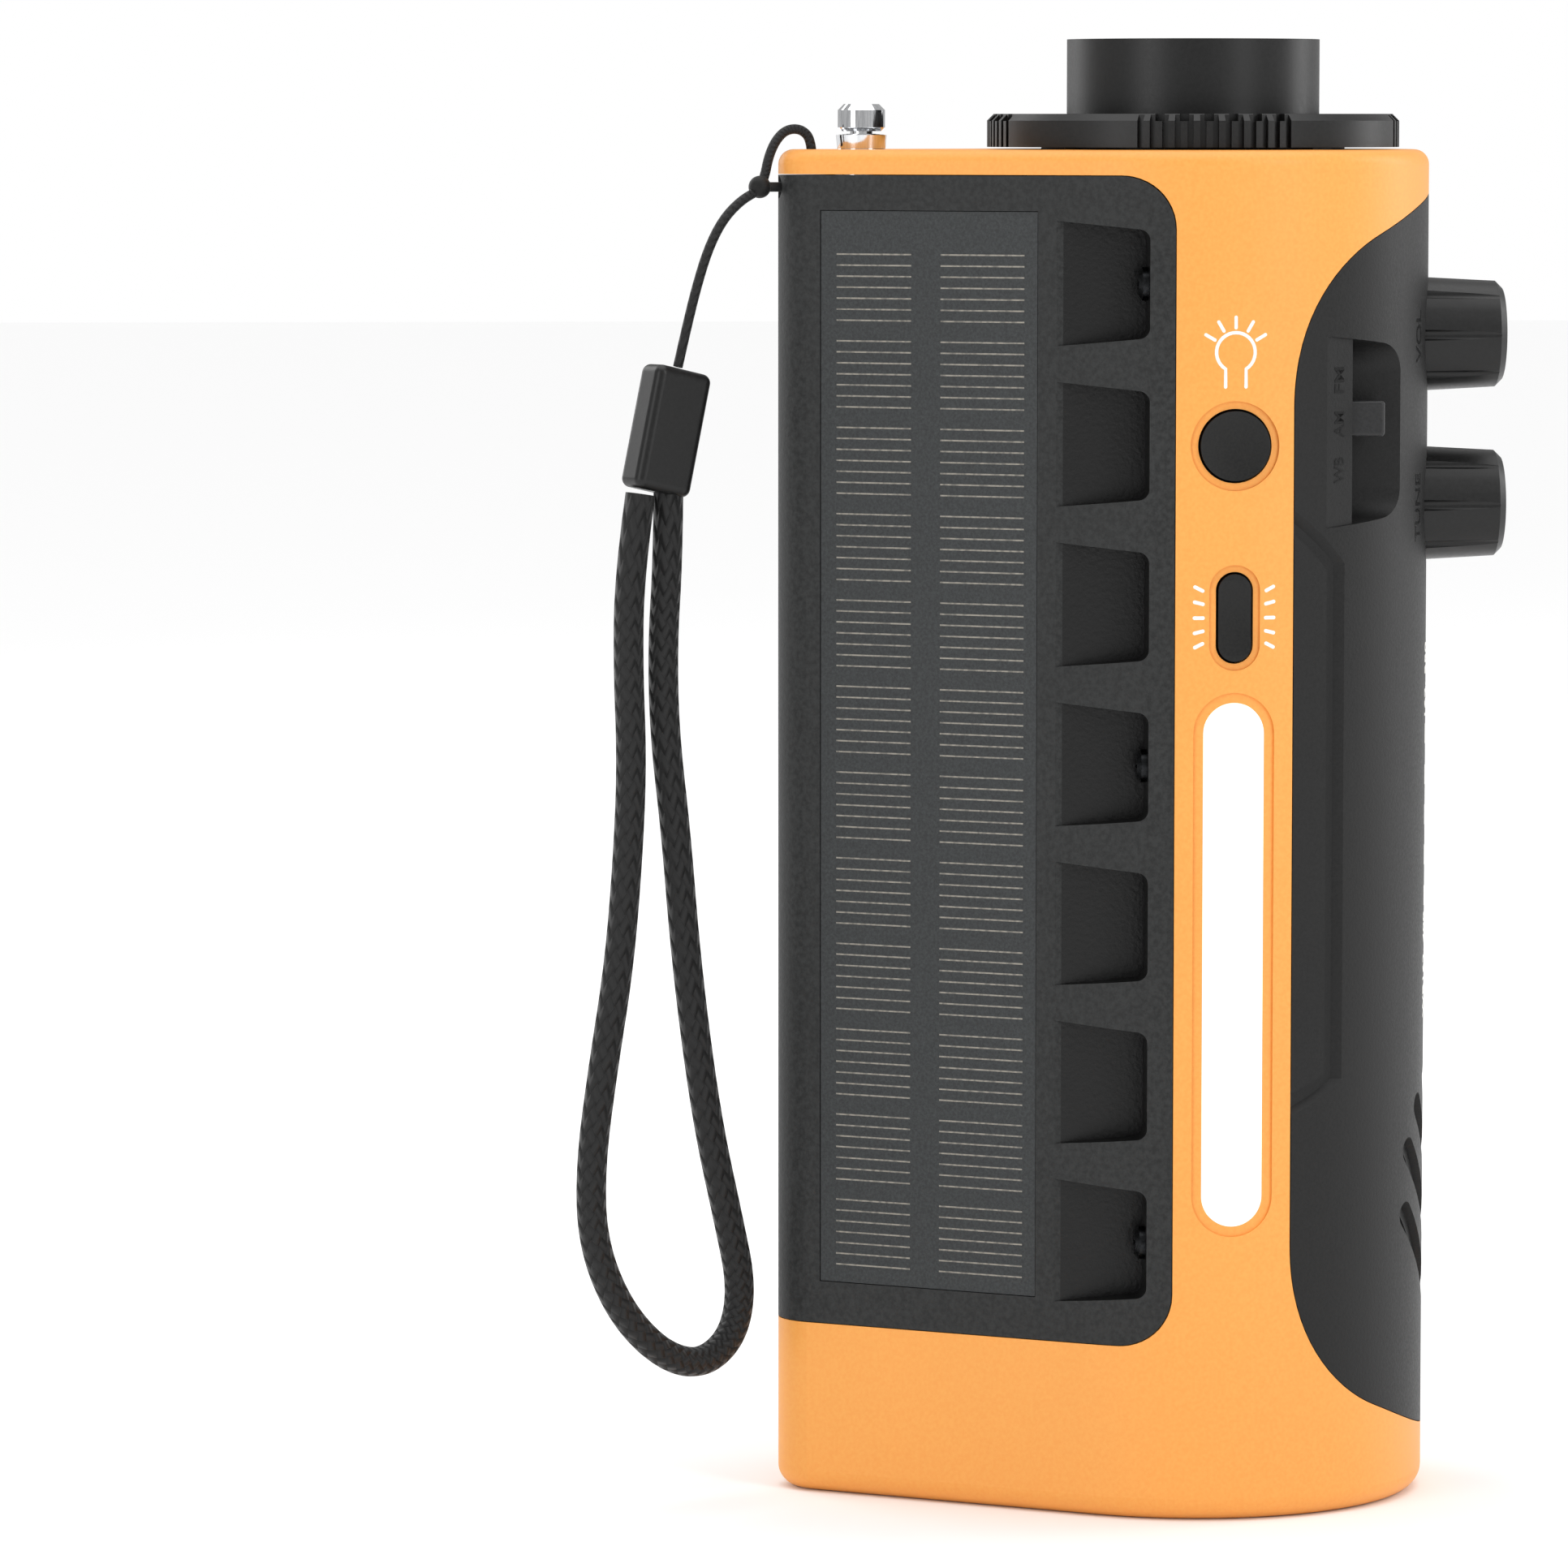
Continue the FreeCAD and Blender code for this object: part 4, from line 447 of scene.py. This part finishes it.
threadPoints, braidPoints = leaning(threadRoute), leaning(braidRoute)
thread = cordPiece("cordThread", threadPoints, strap["threadRadius"], "thread")
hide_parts("strap_thread")
braid = cordPiece("cordBraid", braidPoints, strap["braidRadius"], "braid")
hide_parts("strap_braid")
print("wrist cord made")


# Printed and moulded marks: drawn flat, then laid on the lobe or on a flat
lobeRadius = 31.5
strokeDepth = 0.04  # ink thickness, drawn thicker than real so that it shows


def wordsMesh(words, length, capHeight):
    curve = bpy.data.curves.new("words", "FONT")
    curve.body = words
    curve.extrude = 0.5
    curve.offset = 0.012
    curve.resolution_u = 3
    maker = bpy.data.objects.new("words", curve)
    bpy.context.scene.collection.objects.link(maker)
    flat = bpy.data.meshes.new_from_object(maker)
    bpy.data.objects.remove(maker)
    mesh = bmesh.new()
    mesh.from_mesh(flat)
    bmesh.ops.remove_doubles(mesh, verts=mesh.verts, dist=1e-5)
    low = [min(v.co[i] for v in mesh.verts) for i in (0, 1)]
    high = [max(v.co[i] for v in mesh.verts) for i in (0, 1)]
    bmesh.ops.translate(mesh, vec=(-low[0], -low[1], 0), verts=mesh.verts)
    size = (length / (high[0] - low[0]), capHeight / (high[1] - low[1]), strokeDepth)
    bmesh.ops.scale(mesh, vec=size, verts=mesh.verts)
    return mesh


def strokesMesh(strokes, width):
    mesh = bmesh.new()
    for points in strokes:
        curve = bpy.data.curves.new("stroke", "CURVE")
        curve.dimensions = "3D"
        spline = curve.splines.new("POLY")
        spline.points.add(len(points) - 1)
        for control, point in zip(spline.points, points):
            control.co = (point[0], point[1], 0, 1)
        curve.bevel_depth = width / 2
        curve.bevel_resolution = 3
        curve.use_fill_caps = True
        maker = bpy.data.objects.new("stroke", curve)
        bpy.context.scene.collection.objects.link(maker)
        mesh.from_mesh(bpy.data.meshes.new_from_object(maker))
        bpy.data.objects.remove(maker)
        for end in (points[0], points[-1]):
            bmesh.ops.create_uvsphere(mesh, u_segments=12, v_segments=6, radius=width / 2,
                                      matrix=Matrix.Translation((end[0], end[1], 0)))
    bmesh.ops.scale(mesh, vec=(1, 1, 2 * strokeDepth / width), verts=mesh.verts)
    return mesh


def onLobe(mesh, angle, height):
    for vert in mesh.verts:
        turn = math.radians(angle) + vert.co.x / lobeRadius
        reach = lobeRadius + vert.co.z
        vert.co = Vector((reach * math.cos(turn), reach * math.sin(turn), height + vert.co.y))
    bmesh.ops.scale(mesh, vec=(mm, mm, mm), verts=mesh.verts)


def onPlane(mesh, origin, outward):
    outward = Vector(outward).normalized()
    up = Vector((0, 0, 1))
    basis = Matrix((up.cross(outward), up, outward)).transposed().to_4x4()
    mesh.transform(Matrix.Scale(mm, 4) @ Matrix.Translation(origin) @ basis)


def finishMarks(name, mesh, finish, body="case"):
    bmesh.ops.recalc_face_normals(mesh, faces=mesh.faces)
    data = bpy.data.meshes.new(name)
    mesh.to_mesh(data)
    mesh.free()
    return newPiece(name, data, finish, body)


def lieAt(x):
    return math.degrees(math.asin(x / lobeRadius))


# Dial: word, baseline's x, letter height, bottom and top heights; each reads upwards from the front
front = 270  # degrees round the lobe
dialWords = [
    ("WB162. 400", -5.1, 2.1, 63.8, 78.0), ("162. 550", -5.1, 2.1, 104.4, 114.3),
    ("FM", -1.0, 2.75, 62.6, 67.3), ("76", -1.0, 2.75, 69.3, 72.9), ("82", -1.0, 2.75, 77.8, 81.5),
    ("91", -1.0, 2.75, 86.5, 89.3), ("100", -1.0, 2.75, 94.4, 99.5), ("108", -1.0, 2.75, 103.0, 108.2),
    ("MHz", -1.0, 2.75, 111.2, 118.2), ("AM", 5.6, 2.75, 62.4, 67.5), ("52", 5.6, 2.75, 69.3, 73.0),
    ("75", 5.6, 2.75, 77.4, 81.1), ("110", 5.6, 2.75, 85.2, 89.6), ("140", 5.6, 2.75, 92.9, 98.2),
    ("171", 5.6, 2.75, 101.6, 105.9), ("x10", 5.6, 2.0, 106.6, 110.4), ("KHz", 5.6, 2.75, 111.7, 118.3),
    ("SOLAR", 11.2, 1.75, 106.8, 114.0), ("TUN", 11.2, 1.75, 76.9, 81.0),
]
quarterTurn = Matrix.Rotation(math.radians(90), 4, "Z")
for number, (words, baseline, capHeight, low, high) in enumerate(dialWords):
    mark = wordsMesh(words, high - low, capHeight)
    mark.transform(quarterTurn)
    onLobe(mark, front + lieAt(baseline), low)
    finishMarks(f"dialPrint{number:02d}", mark, "whiteInk")
dash = {"x": -5.9, "half": 1.1, "stroke": 0.55, "middles": (80.2, 85.7, 91.1, 96.5, 102.0)}
dashes = [[(0, middle - dash["half"]), (0, middle + dash["half"])] for middle in dash["middles"]]
mark = strokesMesh(dashes, dash["stroke"])
onLobe(mark, front + lieAt(dash["x"]), 0)
finishMarks("dialDashes", mark, "whiteInk")

# Beside each knob: its word on one side and a wedge that grows upwards on the other, both coloured darker
# than the cover as painted shade
knobMark = {
    "words": (("VOL", 155.3, 7.0), ("TUNE", 132.6, 9.0)), "capHeight": 2.3, "wordX": -11.6, "wedgeX": 11.0,
    "wedge": ((0.9, -4.5, 0), (1.2, -4.5, 0), (2.2, 4.5, 0), (0.2, 4.5, 0)),
}
for words, height, length in knobMark["words"]:
    mark = wordsMesh(words, length, knobMark["capHeight"])
    mark.transform(quarterTurn)
    onLobe(mark, front + lieAt(knobMark["wordX"]), height - length / 2)
    finishMarks("mouldedWord" + words.title(), mark, "paintedShadeMark")
    wedge = bmesh.new()
    wedge.faces.new([wedge.verts.new(place) for place in knobMark["wedge"]])
    bmesh.ops.subdivide_edges(wedge, edges=wedge.edges[:], cuts=3, use_grid_fill=True)
    raised = bmesh.ops.extrude_face_region(wedge, geom=wedge.faces[:])
    lifted = [part for part in raised["geom"] if isinstance(part, bmesh.types.BMVert)]
    bmesh.ops.translate(wedge, vec=(0, 0, strokeDepth), verts=lifted)
    onLobe(wedge, front + lieAt(knobMark["wedgeX"]), height)
    finishMarks("mouldedWedge" + words.title(), wedge, "paintedShadeMark")

# Band letters and the battery sign lie on the slanting side of each notch; the letters are coloured darker as
# painted shade
notchMark = {
    "words": (("FM", 150.0), ("AM", 144.2), ("WB", 138.2)), "length": 3.4, "capHeight": 1.7,
    "wordAt": (-26.0, -17.2), "wordFaces": (-0.808, -0.59, 0),
    "signAt": (26.45, -16.55, 142.0), "signFaces": (0.808, -0.59, 0), "signStroke": 0.22,
}
for words, height in notchMark["words"]:
    mark = wordsMesh(words, notchMark["length"], notchMark["capHeight"])
    mark.transform(quarterTurn)
    onPlane(mark, (*notchMark["wordAt"], height - notchMark["length"] / 2), notchMark["wordFaces"])
    finishMarks("bandLetters" + words.title(), mark, "paintedShadeMark")
outline = [(-1, -1.6), (1, -1.6), (1, 1.6), (0.4, 1.6), (0.4, 2.0), (-0.4, 2.0), (-0.4, 1.6), (-1, 1.6),
           (-1, -1.6)]
hatching = [[(-0.6, -1.2), (0.6, 0.6)], [(0.0, -1.3), (0.6, -0.5)]]
mark = strokesMesh([outline] + hatching, notchMark["signStroke"])
onPlane(mark, notchMark["signAt"], notchMark["signFaces"])
finishMarks("batterySign", mark, "whiteInk")

# Lamp sign above the round key, and five short rays each side of the long one
sideAngle = 184.19  # degrees round the lobe, where both keys and the lamp sit
lampSign = {"height": 153.8, "radius": 2.56, "neck": 1.35, "foot": -4.5, "rays": (3.2, 4.55), "stroke": 0.46}
opening = math.degrees(math.acos(lampSign["neck"] / lampSign["radius"]))
sweep = [math.radians(-opening + (180 + 2 * opening) * step / 28) for step in range(29)]
bulb = [(lampSign["radius"] * math.cos(a), lampSign["radius"] * math.sin(a)) for a in sweep]
bulb = [(lampSign["neck"], lampSign["foot"])] + bulb + [(-lampSign["neck"], lampSign["foot"])]
rays = [[(r * math.cos(math.radians(a)), r * math.sin(math.radians(a))) for r in lampSign["rays"]]
        for a in (30, 60, 90, 120, 150)]
mark = strokesMesh([bulb] + rays, lampSign["stroke"])
onLobe(mark, sideAngle, lampSign["height"])
finishMarks("lampSign", mark, "whiteInk")
alarmSign = {
    "height": 119.2, "aside": 4.72, "half": 0.55, "stroke": 0.5,
    "rays": ((3.8, 27), (1.95, 14), (0, 0), (-1.85, -14), (-3.6, -27)),  # rise and slope
}
aside, half = alarmSign["aside"], alarmSign["half"]
rays = []
for side in (-1, 1):
    for rise, slope in alarmSign["rays"]:
        run, lift = half * math.cos(math.radians(slope)), half * math.sin(math.radians(slope))
        rays.append([(side * (aside - run), rise - lift), (side * (aside + run), rise + lift)])
mark = strokesMesh(rays, alarmSign["stroke"])
onLobe(mark, sideAngle, alarmSign["height"])
finishMarks("alarmRays", mark, "whiteInk")
print("marks made")


# Pale floor, soft lights and the camera
floorMesh = bmesh.new()
bmesh.ops.create_grid(floorMesh, x_segments=1, y_segments=1, size=6)
floorData = bpy.data.meshes.new("floor")
floorMesh.to_mesh(floorData)
floorMesh.free()
floor = bpy.data.objects.new("floor", floorData)
bpy.context.scene.collection.objects.link(floor)
paper, _, paperShader = newFinish("white studio paper", Roughness=0.9)
paperShader.inputs["Base Color"].default_value = linearColour("#f7f7f7")
floorData.materials.append(paper)

world = bpy.data.worlds.new("studio")
bpy.context.scene.world = world
world.use_nodes = True
backdrop = world.node_tree.nodes["Background"]
backdrop.inputs[0].default_value = linearColour("#ffffff")
seen = addNode(world.node_tree, "ShaderNodeLightPath").outputs["Is Camera Ray"]
backdropLevel = {"light": 0.5, "seen": 1.0}  # white where the camera sees it, softer as a light
level = addNode(world.node_tree, "ShaderNodeMapRange", {
    0: seen, 3: backdropLevel["light"], 4: backdropLevel["seen"],
})
world.node_tree.links.new(level.outputs[0], backdrop.inputs[1])
bpy.context.scene.view_settings.view_transform = "Standard"

lamps = {  # place, target, width, height, power
    "keyLight": ((-0.95, -0.8, 0.7), (0, 0, 0.1), 0.35, 0.9, 5.0),
    "fillLight": ((-0.9, 0.95, 0.5), (0, 0.02, 0.1), 0.5, 0.9, 3.6),
    "frontLight": ((0.35, -1.1, 0.5), (0, 0, 0.1), 0.5, 0.8, 4.0),
    "backLight": ((0.8, 0.8, 0.6), (0, 0, 0.1), 0.6, 0.8, 4.0),
}
for name, (place, target, width, height, power) in lamps.items():
    data = bpy.data.lights.new(name, "AREA")
    data.shape = "RECTANGLE"
    data.size, data.size_y, data.energy = width, height, power
    lamp = bpy.data.objects.new(name, data)
    lamp.location = place
    lamp.rotation_euler = (Vector(target) - Vector(place)).to_track_quat("-Z", "Y").to_euler()
    bpy.context.scene.collection.objects.link(lamp)
overhead = bpy.data.lights.new("overheadLight", "SUN")
overhead.energy, overhead.angle = 1.75, math.radians(70)
lamp = bpy.data.objects.new("overheadLight", overhead)
bpy.context.scene.collection.objects.link(lamp)

shot = {
    "azimuth": -96.3, "distance": 1.05, "height": 0.1844, "pitch": -4.883, "aside": 2.983, "lens": 179.5,
}
around = math.radians(shot["azimuth"])
cameraData = bpy.data.cameras.new("camera")
cameraData.lens = shot["lens"]
cameraData.sensor_width = 36
cameraData.clip_end = 20
camera = bpy.data.objects.new("camera", cameraData)
away = shot["distance"]
camera.location = (away * math.sin(around), -away * math.cos(around), shot["height"])
camera.rotation_euler = (math.radians(90 + shot["pitch"]), 0, math.radians(shot["azimuth"] + shot["aside"]))
bpy.context.scene.collection.objects.link(camera)
bpy.context.scene.camera = camera
print("stage, lights and camera set")
